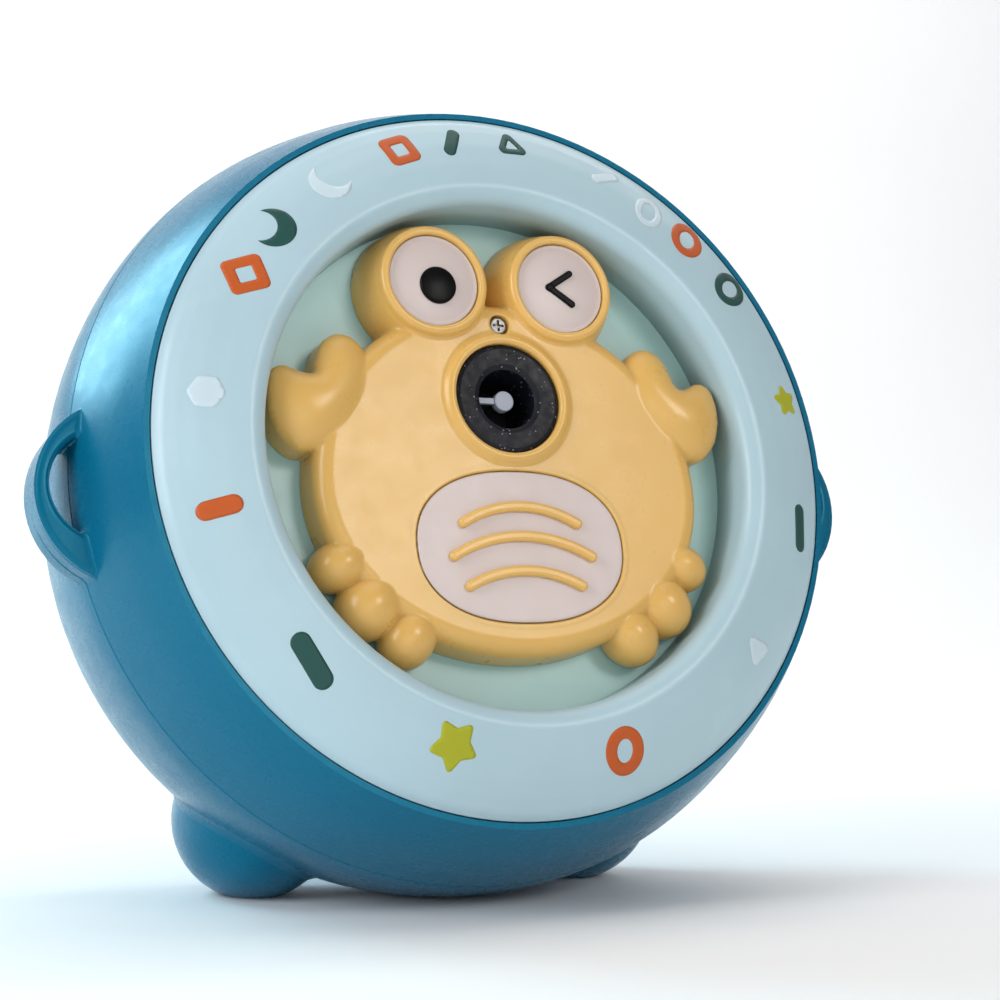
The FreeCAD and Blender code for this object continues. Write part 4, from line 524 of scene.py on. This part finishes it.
class Blown:
    """A flat outline blown up like a soft pad: level where a membrane over it would lie."""

    def __init__(self, outline, step=0.5):
        self.outline = outline
        self.low = outline.min(0) - 4.0
        size = outline.max(0) + 4.0 - self.low
        self.step = step
        self.counts = np.ceil(size / step).astype(int) + 1
        xs = self.low[0] + step * np.arange(self.counts[0])
        ys = self.low[1] + step * np.arange(self.counts[1])
        grid = np.stack(np.meshgrid(xs, ys, indexing="ij"), -1).reshape(-1, 2)
        self.edge = polygon_distance(grid, outline).reshape(self.counts)
        mask = self.edge < 0
        level = np.zeros(self.counts)
        for unused in range(1500):
            around = (np.roll(level, 1, 0) + np.roll(level, -1, 0)
                      + np.roll(level, 1, 1) + np.roll(level, -1, 1))
            level = np.where(mask, 0.25 * (around + step * step), 0.0)
        self.level = np.where(mask, 2.0 * level, -10.0 * self.edge)
        self.slope = np.hypot(*np.gradient(self.level, step))

    def sample(self, table, p):
        q = (p - self.low) / self.step
        q = np.clip(q, 0.0, self.counts - 1.001)
        i = q.astype(int)
        f = q - i
        a = table[i[:, 0], i[:, 1]]
        b = table[i[:, 0] + 1, i[:, 1]]
        c = table[i[:, 0], i[:, 1] + 1]
        d = table[i[:, 0] + 1, i[:, 1] + 1]
        return ((a * (1 - f[:, 0]) + b * f[:, 0]) * (1 - f[:, 1])
                + (c * (1 - f[:, 0]) + d * f[:, 0]) * f[:, 1])

    def distance(self, p, base, rise):
        """Distance to the pad standing on base, its dome rise times a half-round high."""
        flat = self.sample(self.edge, p[:, :2])
        level = self.sample(self.level, p[:, :2])
        slope = self.sample(self.slope, p[:, :2])
        up = np.maximum(p[:, 2] - base, 0.0) / rise
        dome = (up ** 2 - level) / np.sqrt((2.0 * up / rise) ** 2 + slope ** 2 + 0.5)
        return np.where(p[:, 2] > base, dome, flat)


claw_pad = Blown(closed_curve(CLAW))


def crab_body_distance(p):
    """Low egg-shaped body with drafted sides and a rolled front edge."""
    x, y, z = p[:, 0], p[:, 1] - BODY_MIDDLE, p[:, 2]
    wide = BODY_HALF_WIDTH
    tall = np.where(y > 0, BODY_ABOVE, BODY_BELOW)
    near = np.sqrt((x / wide) ** 2 + (y / tall) ** 2)
    slope = np.sqrt((x / wide ** 2) ** 2 + (y / tall ** 2) ** 2)
    side = near * (near - 1.0) / np.maximum(slope, 1e-9)
    lean = (FRONT - z) * BODY_DRAFT
    return cut_round(side - lean + 0.35, z - FRONT, BODY_EDGE)


def eye_distance(p, centre):
    """Eye stalk: flared foot, rolled front lip and a flat seat for the white disc."""
    away = np.hypot(p[:, 0] - centre[0], p[:, 1] - centre[1])
    z = p[:, 2]
    drop_share = np.clip((4.1 - z) / 11.1, -0.3, 1.0)
    flank = EYE_RADIUS + 2.8 * drop_share + 1.96 * drop_share * (1.0 - drop_share)
    barrel = cut_round((away - flank) * 0.95, z - EYE_FRONT, 2.6)
    lip = np.hypot(away - EYE_LIP_RADIUS, z - EYE_FRONT + 1.0) - EYE_LIP_THICK
    barrel = union_round(barrel, lip, 0.8)
    barrel = cut_round(barrel, np.hypot(p[:, 0], p[:, 1]) - RECESS_CLEAR, 0.6)
    return cut_round(barrel, -eye_socket(away, z), 0.35)


def eye_socket(away, z):
    """Round hollow in the front of the stalk that holds the disc."""
    return np.maximum(away - EYE_SOCKET_RADIUS, EYE_SOCKET_FLOOR - z)


def crab_distance(p):
    """The whole moulding: body, bead, legs, claws and eye stalks, less its seats."""
    made = crab_body_distance(p)
    bead_away = np.hypot(p[:, 0] - NOZZLE[0], p[:, 1] - NOZZLE[1])
    bead = np.hypot(bead_away - BEAD_RADIUS, p[:, 2] - FRONT) - BEAD_THICK
    made = union_round(made, bead, 1.2)
    mirrored = np.stack([np.abs(p[:, 0]), p[:, 1], p[:, 2]], 1)
    for x, y, along, across, high in LEGS:
        turn = math.atan2(y - BODY_MIDDLE, x)
        leg = ellipsoid_distance(mirrored, (x, y, LEG_MIDDLE), (along, across, high), turn)
        made = union_round(made, leg, 0.45)
    claw = claw_pad.distance(mirrored, 0.2, 0.82)
    made = union_round(made, claw, 0.7)
    for centre in EYES:
        made = union_round(made, eye_distance(p, centre), 0.9)
    nozzle_seat = np.maximum(bead_away - (NOZZLE_OUTER + 0.15), 2.2 - p[:, 2])
    nozzle_seat = np.minimum(nozzle_seat, bead_away - 12.0)
    made = cut_round(made, -nozzle_seat, 0.35)
    screw = np.hypot(p[:, 0] - SCREW[0], p[:, 1] - SCREW[1])
    made = cut_round(made, -np.maximum(screw - SCREW_WELL, 2.0 - p[:, 2]), 0.3)
    made = np.maximum(made, -np.maximum(belly_distance(p) - 0.9, 3.3 - p[:, 2]))
    return np.maximum(made, FLOOR - p[:, 2])


def belly_distance(p):
    """Distance in the face plane to the belly plate's superellipse."""
    wide, tall = BELLY_HALF
    x, y = np.abs(p[:, 0]) / wide, np.abs(p[:, 1] - BELLY_MIDDLE) / tall
    near = (x ** BELLY_POWER + y ** BELLY_POWER) ** (1 / BELLY_POWER)
    lower = BELLY_POWER - 1.0
    slope = np.hypot(x ** lower / wide, y ** lower / tall) / np.maximum(near, 1e-6) ** lower
    return (near - 1.0) / np.maximum(slope, 0.01)


def swept_rim(outline, profile):
    """A strip along a closed outline: profile gives (distance outwards, height)."""
    outline = np.array(outline)
    ahead = np.roll(outline, -1, axis=0) - np.roll(outline, 1, axis=0)
    ahead /= np.linalg.norm(ahead, axis=1)[:, None]
    out = np.stack([ahead[:, 1], -ahead[:, 0]], 1)
    points, faces = [], []
    count = len(outline)
    for away, height in profile:
        ring = outline + out * away
        points.extend([(x, y, height) for x, y in ring])
    for row in range(len(profile) - 1):
        for step in range(count):
            after = (step + 1) % count
            faces.append([row * count + step, row * count + after,
                          (row + 1) * count + after, (row + 1) * count + step])
    return points, faces


def belly_line(steps=240):
    """The belly plate's outline as evenly spaced points."""
    wide, tall = BELLY_HALF
    power = 2 / BELLY_POWER
    line = []
    for number in range(steps):
        angle = 2 * math.pi * number / steps
        c, s = math.cos(angle), math.sin(angle)
        line.append((math.copysign(abs(c) ** power, c) * wide,
                     math.copysign(abs(s) ** power, s) * tall + BELLY_MIDDLE))
    return even_line(np.array(line), steps)


def even_line(line, count):
    """The same closed line with its points spread evenly."""
    closed = np.vstack([line, line[:1]])
    run = np.concatenate([[0.0], np.cumsum(np.linalg.norm(np.diff(closed, axis=0), axis=1))])
    want = np.linspace(0.0, run[-1], count, endpoint=False)
    return np.stack([np.interp(want, run, closed[:, 0]), np.interp(want, run, closed[:, 1])], 1)


step = 0.42
crab_points, crab_faces = surface_net(crab_distance, (-67.0, -60.0, FLOOR - step),
                                      (67.0, 64.5, 11.0), step)
crab = piece("crab_moulding", crab_points, crab_faces, "housing", "crab_yellow")
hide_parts("crab_cover")

belly = belly_line()
frame_profile = ([(1.9, FRONT + 0.004), (1.3, FRONT + 0.03), (0.85, FRONT + 0.03)]
                 + arc_points((0.80, FRONT - 0.42), 0.45, 90, 180, 7)
                 + [(0.35, FRONT - 1.1), (-0.6, FRONT - 1.1)])
points, faces = swept_rim(belly, frame_profile)
piece("belly_frame", points, faces, "housing", "crab_yellow")

plate_profile = ([(0.0, FRONT - 1.1), (0.0, FRONT - 0.4)]
                 + arc_points((-0.45, FRONT - 0.43), 0.45, 0, 90, 6)
                 + [(-1.2, FRONT + 0.02), (-3.0, FRONT + 0.02)])
points, faces = swept_rim(belly, plate_profile)
count = len(belly)
faces.append([len(points) - count + number for number in range(count)])
plate = piece("belly_plate_soft", points, faces, "housing", "face_white")
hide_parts("belly_plate")


# ---------------------------------------------------------------- eyes, nozzle, ring

def dome_profile(radius, low, edge, high, lip):
    """Disc with a domed front: from its edge height to high at the middle."""
    curve = (radius ** 2 + (high - edge) ** 2) / (2 * (high - edge))
    top = []
    for number in range(14):
        away = (radius - lip) * (1 - number / 13)
        top.append((away, high - curve + math.sqrt(curve ** 2 - away ** 2)))
    side = rounded([(0.0, low, 0.0), (radius, low, 0.2), (radius, top[0][1], lip * 0.9),
                    (radius - lip * 1.4, top[0][1] + 0.12, 0.0)], closed=False)
    return side[:-1] + top


for name, (x, y) in (("left", EYES[0]), ("right", EYES[1])):
    points, faces = turned(dome_profile(DISC_RADIUS, 3.6, 5.4, 6.85, 0.6), 128, (x, y))
    white = piece(f"eye_disc_{name}", points, faces, "housing", "face_white")
    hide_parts(f"eye_white_{name}")


def pupil_profile():
    """Pupil button: round side, rolled edge, shallow dome."""
    radius, rise, top = 4.4, 0.4, 7.9
    curve = (radius ** 2 + rise ** 2) / (2 * rise)
    dome = []
    for number in range(1, 11):
        away = radius * (1 - number / 10)
        dome.append((away, top - curve + math.sqrt(curve ** 2 - away ** 2)))
    return [(0.0, 6.0), (5.0, 6.0)] + arc_points((4.35, 6.86), 0.65, 0, 85, 7) + dome


PUPIL = (EYES[0][0] + 0.5, EYES[0][1] - 1.7)
points, faces = turned(pupil_profile(), 96, PUPIL)
pupil = piece("pupil_button", points, faces, "housing", "gloss_black")
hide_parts("eye_pupil")


STROKE = 0.9                    # half width and half height of the wink's bars
STROKE_MIDDLE = 6.5


def stroke_distance(p, start, finish):
    """Round-ended bar between two points, standing in the eye disc."""
    start, finish = np.array(start), np.array(finish)
    run = finish - start
    away = p[:, :2] - start
    share = np.clip((away @ run) / (run @ run), 0.0, 1.0)
    side = np.hypot(*(away - share[:, None] * run).T) - STROKE
    return cut_round(side, np.abs(p[:, 2] - STROKE_MIDDLE) - STROKE, 0.4)


def wink_distance(p):
    """Two bars meeting at the left, open to the right."""
    x, y = EYES[1]
    tip = (x - 3.9, y - 0.3)
    return union_round(stroke_distance(p, tip, (x + 2.5, y + 3.8)),
                       stroke_distance(p, tip, (x + 2.4, y - 4.7)), 0.25)


wink_points, wink_faces = surface_net(
    wink_distance, (EYES[1][0] - 6.0, EYES[1][1] - 7.0, 5.2),
    (EYES[1][0] + 4.6, EYES[1][1] + 6.0, 7.8), 0.18)
wink = piece("wink_chevron", wink_points, wink_faces, "housing", "gloss_black")
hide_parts("wink_mark")

ring_profile = rounded([
    (94.0, 0.0, 0.5), (92.4, 1.95, 9.0), (89.0, 3.95, 12.0), (84.3, 6.3, 20.0),
    (78.0, 8.45, 20.0), (71.0, 10.15, 7.5), (67.3, 7.6, 4.5), (67.05, 2.0, 3.0),
    (67.0, -7.0, 0.0), (69.4, -7.0, 0.0), (70.1, 4.6, 0.0), (73.9, 7.0, 0.0), (84.0, 3.9, 0.0),
    (91.4, -1.6, 0.0), (91.4, -8.0, 0.0), (93.4, -8.0, 0.0), (93.4, -2.4, 0.0),
    (94.0, -2.4, 0.0)], steps=10)
points, faces = turned(ring_profile, 320)
ring = piece("ring_moulding", points, faces, "housing", "ring_cyan")
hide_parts("front_ring")

nozzle_profile = rounded([
    (NOZZLE_BORE, 4.15, 0.35), (8.5, 4.55, 0.3), (9.3, 4.85, 0.3), (13.4, 5.05, 0.5),
    (NOZZLE_OUTER, 4.6, 0.6), (NOZZLE_OUTER, 2.2, 0.1), (11.8, 2.2, 0.0), (11.8, -14.0, 0.2),
    (NOZZLE_BORE, -14.0, 0.2)], steps=5)
points, faces = turned(nozzle_profile, 160, NOZZLE)
nozzle = piece("nozzle_moulding", points, faces, "housing", "nozzle_black")
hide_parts("nozzle_ring")


# ---------------------------------------------------------------- printed marks on the ring

crest = max(ring_profile, key=lambda spot: spot[1])
front_line = np.array(sorted(ring_profile[:ring_profile.index(crest) + 1]))
PRINT_LIFT = 0.045              # how far a mark stands out of the ring's front
PRINT_ROOT = -0.03              # how far its skirt reaches into it
EDGE_STEP, INNER_STEP = 0.55, 0.9


def ring_height(radius):
    """Height of the ring's front at that radius."""
    return float(np.interp(radius, front_line[:, 0], front_line[:, 1]))


def dense(loop, spacing):
    """The same loop with extra points on its long stretches."""
    made = []
    for (ax, ay), (bx, by) in zip(loop, list(loop[1:]) + [loop[0]]):
        if math.hypot(bx - ax, by - ay) < 1e-4:
            continue
        parts = max(1, int(math.hypot(bx - ax, by - ay) / spacing))
        made.extend([(ax + (bx - ax) * n / parts, ay + (by - ay) * n / parts)
                     for n in range(parts)])
    return made


def within(x, y, loops, margin=0.0):
    """Whether a spot lies inside the first loop and outside the others, by that margin."""
    spot = np.array([[x, y]])
    if polygon_distance(spot, loops[0])[0] > -margin:
        return False
    return not any(polygon_distance(spot, hole)[0] < margin for hole in loops[1:])


def filled(contours):
    """Flat triangles that fill loops: the first is the outside, the others are holes."""
    loops = [dense(loop, EDGE_STEP) for loop in contours]
    flat, edges = [], []
    for loop in loops:
        start, count = len(flat), len(loop)
        flat.extend([Vector((float(x), float(y))) for x, y in loop])
        edges.extend([(start + n, start + (n + 1) % count) for n in range(count)])
    loops = [np.array(loop, float) for loop in loops]
    low, high = loops[0].min(0), loops[0].max(0)
    grid = []
    for x in np.arange(low[0], high[0], INNER_STEP):
        for y in np.arange(low[1], high[1], INNER_STEP):
            if within(x, y, loops, 0.3):
                grid.append(Vector((float(x), float(y))))
    made = delaunay_2d_cdt(flat + grid, edges, [], 0, 1e-6)
    spots, triangles = made[0], made[2]
    keep = []
    for triangle in triangles:
        middle = sum((spots[n] for n in triangle), Vector((0.0, 0.0))) / len(triangle)
        if within(middle.x, middle.y, loops):
            keep.append(list(triangle))
    return spots, keep


def decal(name, contours, centre, turn, material):
    """A thin printed patch on the ring.  centre is its radius and its angle clockwise from
    the top; turn is degrees about its own middle."""
    radius, clock = centre[0], math.radians(centre[1])
    c, s = math.cos(math.radians(turn)), math.sin(math.radians(turn))
    across = np.array((math.cos(clock), -math.sin(clock)))
    outward = np.array((math.sin(clock), math.cos(clock)))
    spots, keep = filled(contours)

    def place(spot, up):
        x = spot.x * c - spot.y * s
        y = spot.x * s + spot.y * c
        point = outward * radius + across * x + outward * y
        return (point[0], point[1], ring_height(np.linalg.norm(point)) + up)

    points = [place(spot, PRINT_LIFT) for spot in spots]
    sides = dict.fromkeys((a, b) for face in keep for a, b in zip(face, face[1:] + face[:1]))
    lower, skirt = {}, []
    for a, b in sides:
        if (b, a) in sides:
            continue
        for corner in (a, b):
            if corner not in lower:
                lower[corner] = len(points)
                points.append(place(spots[corner], PRINT_ROOT))
        skirt.append([b, a, lower[a], lower[b]])
    return piece(name, points, keep + skirt, "housing", "ring_cyan", material)


def bar(long, wide):
    """Outline of a round-ended bar."""
    half = wide / 2
    run = long / 2 - half
    return (arc_points((run, 0.0), half, -90, 90, 12) + arc_points((-run, 0.0), half, 90, 270, 12))


def round_mark(rx, ry, steps=40):
    """Outline of an ellipse."""
    return [(rx * math.cos(2 * math.pi * n / steps), ry * math.sin(2 * math.pi * n / steps))
            for n in range(steps)]


def soft_polygon(count, radius, corner, start=90.0):
    """Outline of a regular polygon with rounded corners."""
    return rounded([(radius * math.cos(math.radians(start + 360.0 * n / count)),
                     radius * math.sin(math.radians(start + 360.0 * n / count)), corner)
                    for n in range(count)])


def star(radius, inner=0.52):
    """Outline of a soft five-pointed star."""
    corners = []
    for n in range(10):
        reach, corner = (radius, 0.9) if n % 2 == 0 else (radius * inner, 0.4)
        angle = math.radians(90 + 36 * n)
        corners.append((reach * math.cos(angle), reach * math.sin(angle), corner))
    return rounded(corners)


def crescent(radius, bite, shift):
    """Moon: an outer arc closed by a shallower inner one."""
    cross = (radius ** 2 - bite ** 2 + shift ** 2) / (2 * shift)
    high = math.sqrt(radius ** 2 - cross ** 2)
    outer = math.degrees(math.atan2(high, cross))
    inner = math.degrees(math.atan2(high, cross - shift))
    return (arc_points((0.0, 0.0), radius, outer, 360 - outer, 30)
            + arc_points((shift, 0.0), bite, 360 - inner, inner, 24))


decal("print_bar_left", [bar(11.0, 4.8)], (82.0, -101.7), 90.0, "print_orange")
decal("print_bar_low_left", [bar(15.2, 5.0)], (80.9, -132.0), -12.0, "print_green")
decal("print_star_low", [star(7.0, 0.58)], (79.6, -161.4), 8.0, "print_lime")
decal("print_ring_low", [round_mark(5.7, 6.0), round_mark(2.3, 2.9)], (81.1, 164.7), -20.0,
      "print_orange")
decal("print_drop_pale", [soft_polygon(3, 5.4, 1.4)], (83.6, 129.2), 170.0, "print_pale")
decal("print_bar_right", [bar(13.2, 3.8)], (85.6, 103.0), 7.7, "print_green")
decal("print_star_right", [star(5.6)], (86.0, 78.7), 20.0, "print_lime")
decal("print_ring_green", [round_mark(5.1, 6.4), round_mark(2.4, 3.6)], (86.2, 55.6), 0.0,
      "print_green")
decal("print_ring_orange", [round_mark(5.3, 6.4), round_mark(2.4, 3.5)], (86.0, 43.6), 0.0,
      "print_orange")
decal("print_ring_pale", [round_mark(4.4, 5.6), round_mark(2.2, 3.3)], (84.1, 34.6), 0.0,
      "print_pale")
decal("print_bar_pale", [bar(10.0, 3.2)], (86.6, 24.6), 40.0, "print_pale")
decal("print_triangle_green", [soft_polygon(3, 5.9, 1.5), soft_polygon(3, 2.3, 0.4)],
      (85.7, 5.4), 6.0, "print_green")
decal("print_bar_green", [bar(9.8, 3.4)], (85.2, -6.3), 60.0, "print_green")
decal("print_square_orange", [soft_polygon(4, 6.4, 1.9, 45.0), soft_polygon(4, 2.7, 0.5, 45.0)],
      (84.6, -16.9), 4.0, "print_orange")
decal("print_moon_pale", [crescent(5.4, 4.6, 3.2)], (83.4, -32.6), 30.0, "print_pale")
decal("print_moon_green", [crescent(5.7, 4.6, 3.6)], (83.3, -47.4), 120.0, "print_green")
decal("print_diamond_orange", [soft_polygon(4, 7.0, 1.6), soft_polygon(4, 2.9, 0.4)],
      (81.9, -58.2), 0.0, "print_orange")
decal("print_dot_pale", [soft_polygon(6, 4.6, 1.6)], (82.6, -81.4), 0.0, "print_pale")


# ---------------------------------------------------------------- strap loops and foot fillets

SHELL = [(95.9, 0.0), (101.0, -12.0), (104.7, -24.0), (107.0, -34.0), (107.5, -42.0),
         (106.9, -54.0), (105.0, -66.0), (101.3, -78.0), (94.9, -90.0), (85.5, -100.5),
         (73.5, -107.6), (62.0, -110.0)]


def spline_through(points, first, last, count):
    """Smooth line through points with given end directions."""
    points = np.array(points, float)
    gap = np.linalg.norm(np.diff(points, axis=0), axis=1)
    size = len(points)
    matrix = np.zeros((size, size))
    right = np.zeros((size, 2))
    matrix[0, 0] = matrix[-1, -1] = 1.0
    right[0] = np.array(first) / np.linalg.norm(first)
    right[-1] = np.array(last) / np.linalg.norm(last)
    for n in range(1, size - 1):
        matrix[n, n - 1] = gap[n]
        matrix[n, n] = 2 * (gap[n - 1] + gap[n])
        matrix[n, n + 1] = gap[n - 1]
        right[n] = 3 * (gap[n] * (points[n] - points[n - 1]) / gap[n - 1]
                        + gap[n - 1] * (points[n + 1] - points[n]) / gap[n])
    slope = np.linalg.solve(matrix, right)
    run = np.concatenate([[0.0], np.cumsum(gap)])
    made = []
    for want in np.linspace(0.0, run[-1], count):
        n = min(int(np.searchsorted(run, want, side="right")) - 1, size - 2)
        t = (want - run[n]) / gap[n]
        made.append((2 * t**3 - 3 * t**2 + 1) * points[n] + (t**3 - 2 * t**2 + t) * gap[n] * slope[n]
                    + (3 * t**2 - 2 * t**3) * points[n + 1] + (t**3 - t**2) * gap[n] * slope[n + 1])
    return np.array(made)


shell_line = spline_through(SHELL, (0.46, -1.0), (-1.0, -0.12), 160)
shell_loop = np.vstack([shell_line, [(0.0, SHELL[-1][1]), (0.0, 0.0)]])
SEAM = -31.5                    # parting plane between the two shells
SEAM_GAP = 0.08
SUNK = 0.3                      # how far the borders of the patches sink into the shells
FOOT_MIDDLE = (48.0, -80.0, -77.0)
FOOT_RADII = (22.0, 22.5, 28.0)
FOOT_FILLET = 3.2
LOOP_OUTER = (92.3, -4.0, 24.25)
LOOP_INNER = (98.6, -2.2, 13.9)
LOOP_HALF_DEPTH = 5.9
LOOP_FILLET = 1.4


def shell_distance(p):
    """Distance to the turned body without its loops and feet."""
    flat = np.stack([np.hypot(p[:, 0], p[:, 1]), p[:, 2]], 1)
    return polygon_distance(flat, shell_loop)


def foot_distance(p, side):
    x, y, z = FOOT_MIDDLE
    return ellipsoid_distance(p, (side * x, y, z), FOOT_RADII)


def disc_distance(x, y, circle):
    """Distance in the face plane to a circle given as (x, y, radius)."""
    return np.hypot(x - circle[0], y - circle[1]) - circle[2]


def loop_distance(p, side):
    """D-shaped band beside the shell, all its edges rounded."""
    x, y = p[:, 0] * side, p[:, 1]
    band = cut_round(disc_distance(x, y, LOOP_OUTER), -disc_distance(x, y, LOOP_INNER), 1.3)
    return cut_round(band, np.abs(p[:, 2] - SEAM) - LOOP_HALF_DEPTH, 1.5)


def kept_faces(points, faces, keep):
    """Only the faces whose corners are all kept, with unused points dropped."""
    faces = np.asarray(faces)
    faces = faces[keep[faces].all(1)]
    used = np.unique(faces)
    number = -np.ones(len(points), int)
    number[used] = np.arange(len(used))
    return points[used], number[faces]


def foot_fillet(name, side):
    """The fillet strip between shell and foot, its borders sunk into them."""
    def joined(p):
        return union_round(shell_distance(p) + SUNK, foot_distance(p, side) + SUNK, FOOT_FILLET)
    near, far = 22.0, 75.0
    low = (near if side > 0 else -far, -106.0, -106.0)
    high = (far if side > 0 else -near, -54.0, -46.0)
    points, faces = surface_net(joined, low, high, 0.8)
    plain = np.minimum(shell_distance(points), foot_distance(points, side))
    points, faces = kept_faces(points, faces, plain > 0.03 - SUNK)
    return piece(name, points, faces, "housing", "shell_blue")


for side, word in ((-1, "left"), (1, "right")):
    foot_fillet(f"foot_fillet_{word}", side)


def loop_half(name, side, front):
    """One shell's half of a strap loop, with the parting edge eased."""
    def distance(p):
        band = loop_distance(p, side)
        made = union_round(band, shell_distance(p) + SUNK, LOOP_FILLET)
        cut = (SEAM + SEAM_GAP - p[:, 2]) if front else (p[:, 2] - SEAM + SEAM_GAP)
        return cut_round(made, cut, 0.35)
    near, far = 99.0, 119.0
    low = (near if side > 0 else -far, -31.0, SEAM - 0.4 if front else -40.0)
    high = (far if side > 0 else -near, 23.0, -23.0 if front else SEAM + 0.4)
    points, faces = surface_net(distance, low, high, 0.45)
    x = np.abs(points[:, 0])
    shell = shell_distance(points)
    band = loop_distance(points, side)
    keep = (x > 99.5) & (points[:, 1] > -30.5) & (points[:, 1] < 22.5)
    keep &= (shell > 0.03 - SUNK) & (band < 2.4)
    points, faces = kept_faces(points, faces, keep)
    return piece(name, points, faces, "housing", "shell_blue")


for side, word in ((-1, "left"), (1, "right")):
    loop_half(f"loop_front_{word}", side, True)
    loop_half(f"loop_back_{word}", side, False)


# ---------------------------------------------------------------- stage, light and camera

def sheet_stage():
    """Pale floor that sweeps up into a backdrop behind the machine."""
    flat_end, bend, top = 0.9, 0.7, 2.6
    line = [(-2.6, 0.0), (flat_end, 0.0)]
    for number in range(1, 13):
        angle = math.radians(7.5 * number)
        line.append((flat_end + bend * math.sin(angle), bend - bend * math.cos(angle)))
    line.append((flat_end + bend, top))
    points, faces = [], []
    for y, z in line:
        points.extend([(-4.0, y, z), (5.0, y, z)])
    for number in range(len(line) - 1):
        faces.append([2 * number, 2 * number + 1, 2 * number + 3, 2 * number + 2])
    mesh = bpy.data.meshes.new("floor")
    mesh.from_pydata(points, [], faces)
    mesh.polygons.foreach_set("use_smooth", [True] * len(mesh.polygons))
    made = bpy.data.objects.new("floor", mesh)
    scene.collection.objects.link(made)
    paper = Nodes("floor_paper")
    cloud = paper.noise(3.0, 2.0)
    paper.feed("Base Color", paper.blend(cloud, (0.86, 0.86, 0.865), (0.90, 0.90, 0.90)))
    paper.set(Roughness=0.75)
    mesh.materials.append(paper.material)


def soft_box(name, place, aim, width, height, power, colour=(1.0, 1.0, 1.0)):
    """Rectangular lamp at a place, turned towards a spot."""
    lamp = bpy.data.lights.new(name, "AREA")
    lamp.shape = "RECTANGLE"
    lamp.size = width
    lamp.size_y = height
    lamp.energy = power
    lamp.color = colour
    made = bpy.data.objects.new(name, lamp)
    made.location = place
    made.rotation_euler = (Vector(aim) - Vector(place)).to_track_quat("-Z", "Y").to_euler()
    scene.collection.objects.link(made)
    return made


sheet_stage()
MACHINE = (0.0, 0.0, 0.11)
soft_box("window_left", (-1.15, -0.35, 0.62), MACHINE, 0.55, 0.9, 9.0, (0.96, 0.98, 1.0))
soft_box("key_right", (0.55, -1.35, 0.80), MACHINE, 0.45, 0.45, 5.0, (1.0, 0.97, 0.92))
soft_box("fill_front", (-0.35, -1.7, 0.22), MACHINE, 1.2, 0.8, 4.0)
soft_box("top", (0.1, 0.1, 1.5), MACHINE, 1.2, 1.2, 4.6)
soft_box("window_back", (-0.72, 0.92, 0.86), MACHINE, 0.55, 0.8, 12.0, (0.52, 0.88, 1.0))
soft_box("backdrop_light", (0.8, 0.4, 1.4), (0.9, 1.6, 0.4), 1.4, 0.6, 14.0)

world = bpy.data.worlds.new("studio")
world.use_nodes = True
background = world.node_tree.nodes["Background"]
background.inputs["Color"].default_value = (1.0, 1.0, 1.0, 1.0)
background.inputs["Strength"].default_value = 0.33
scene.world = world
scene.view_settings.view_transform = "Standard"

CAMERA_PLACE = (-0.2402, -0.5538, 0.0821)
CAMERA_LOOK = (0.4262, 0.9037, 0.0419)

camera_data = bpy.data.cameras.new("camera")
camera_data.lens = 78.15
camera_data.sensor_width = 36.0
camera_data.clip_start = 0.02
camera_data.clip_end = 40.0
camera = bpy.data.objects.new("camera", camera_data)
camera.location = CAMERA_PLACE
camera.rotation_euler = Vector(CAMERA_LOOK).to_track_quat("-Z", "Y").to_euler()
scene.collection.objects.link(camera)
scene.camera = camera

bpy.context.view_layer.update()
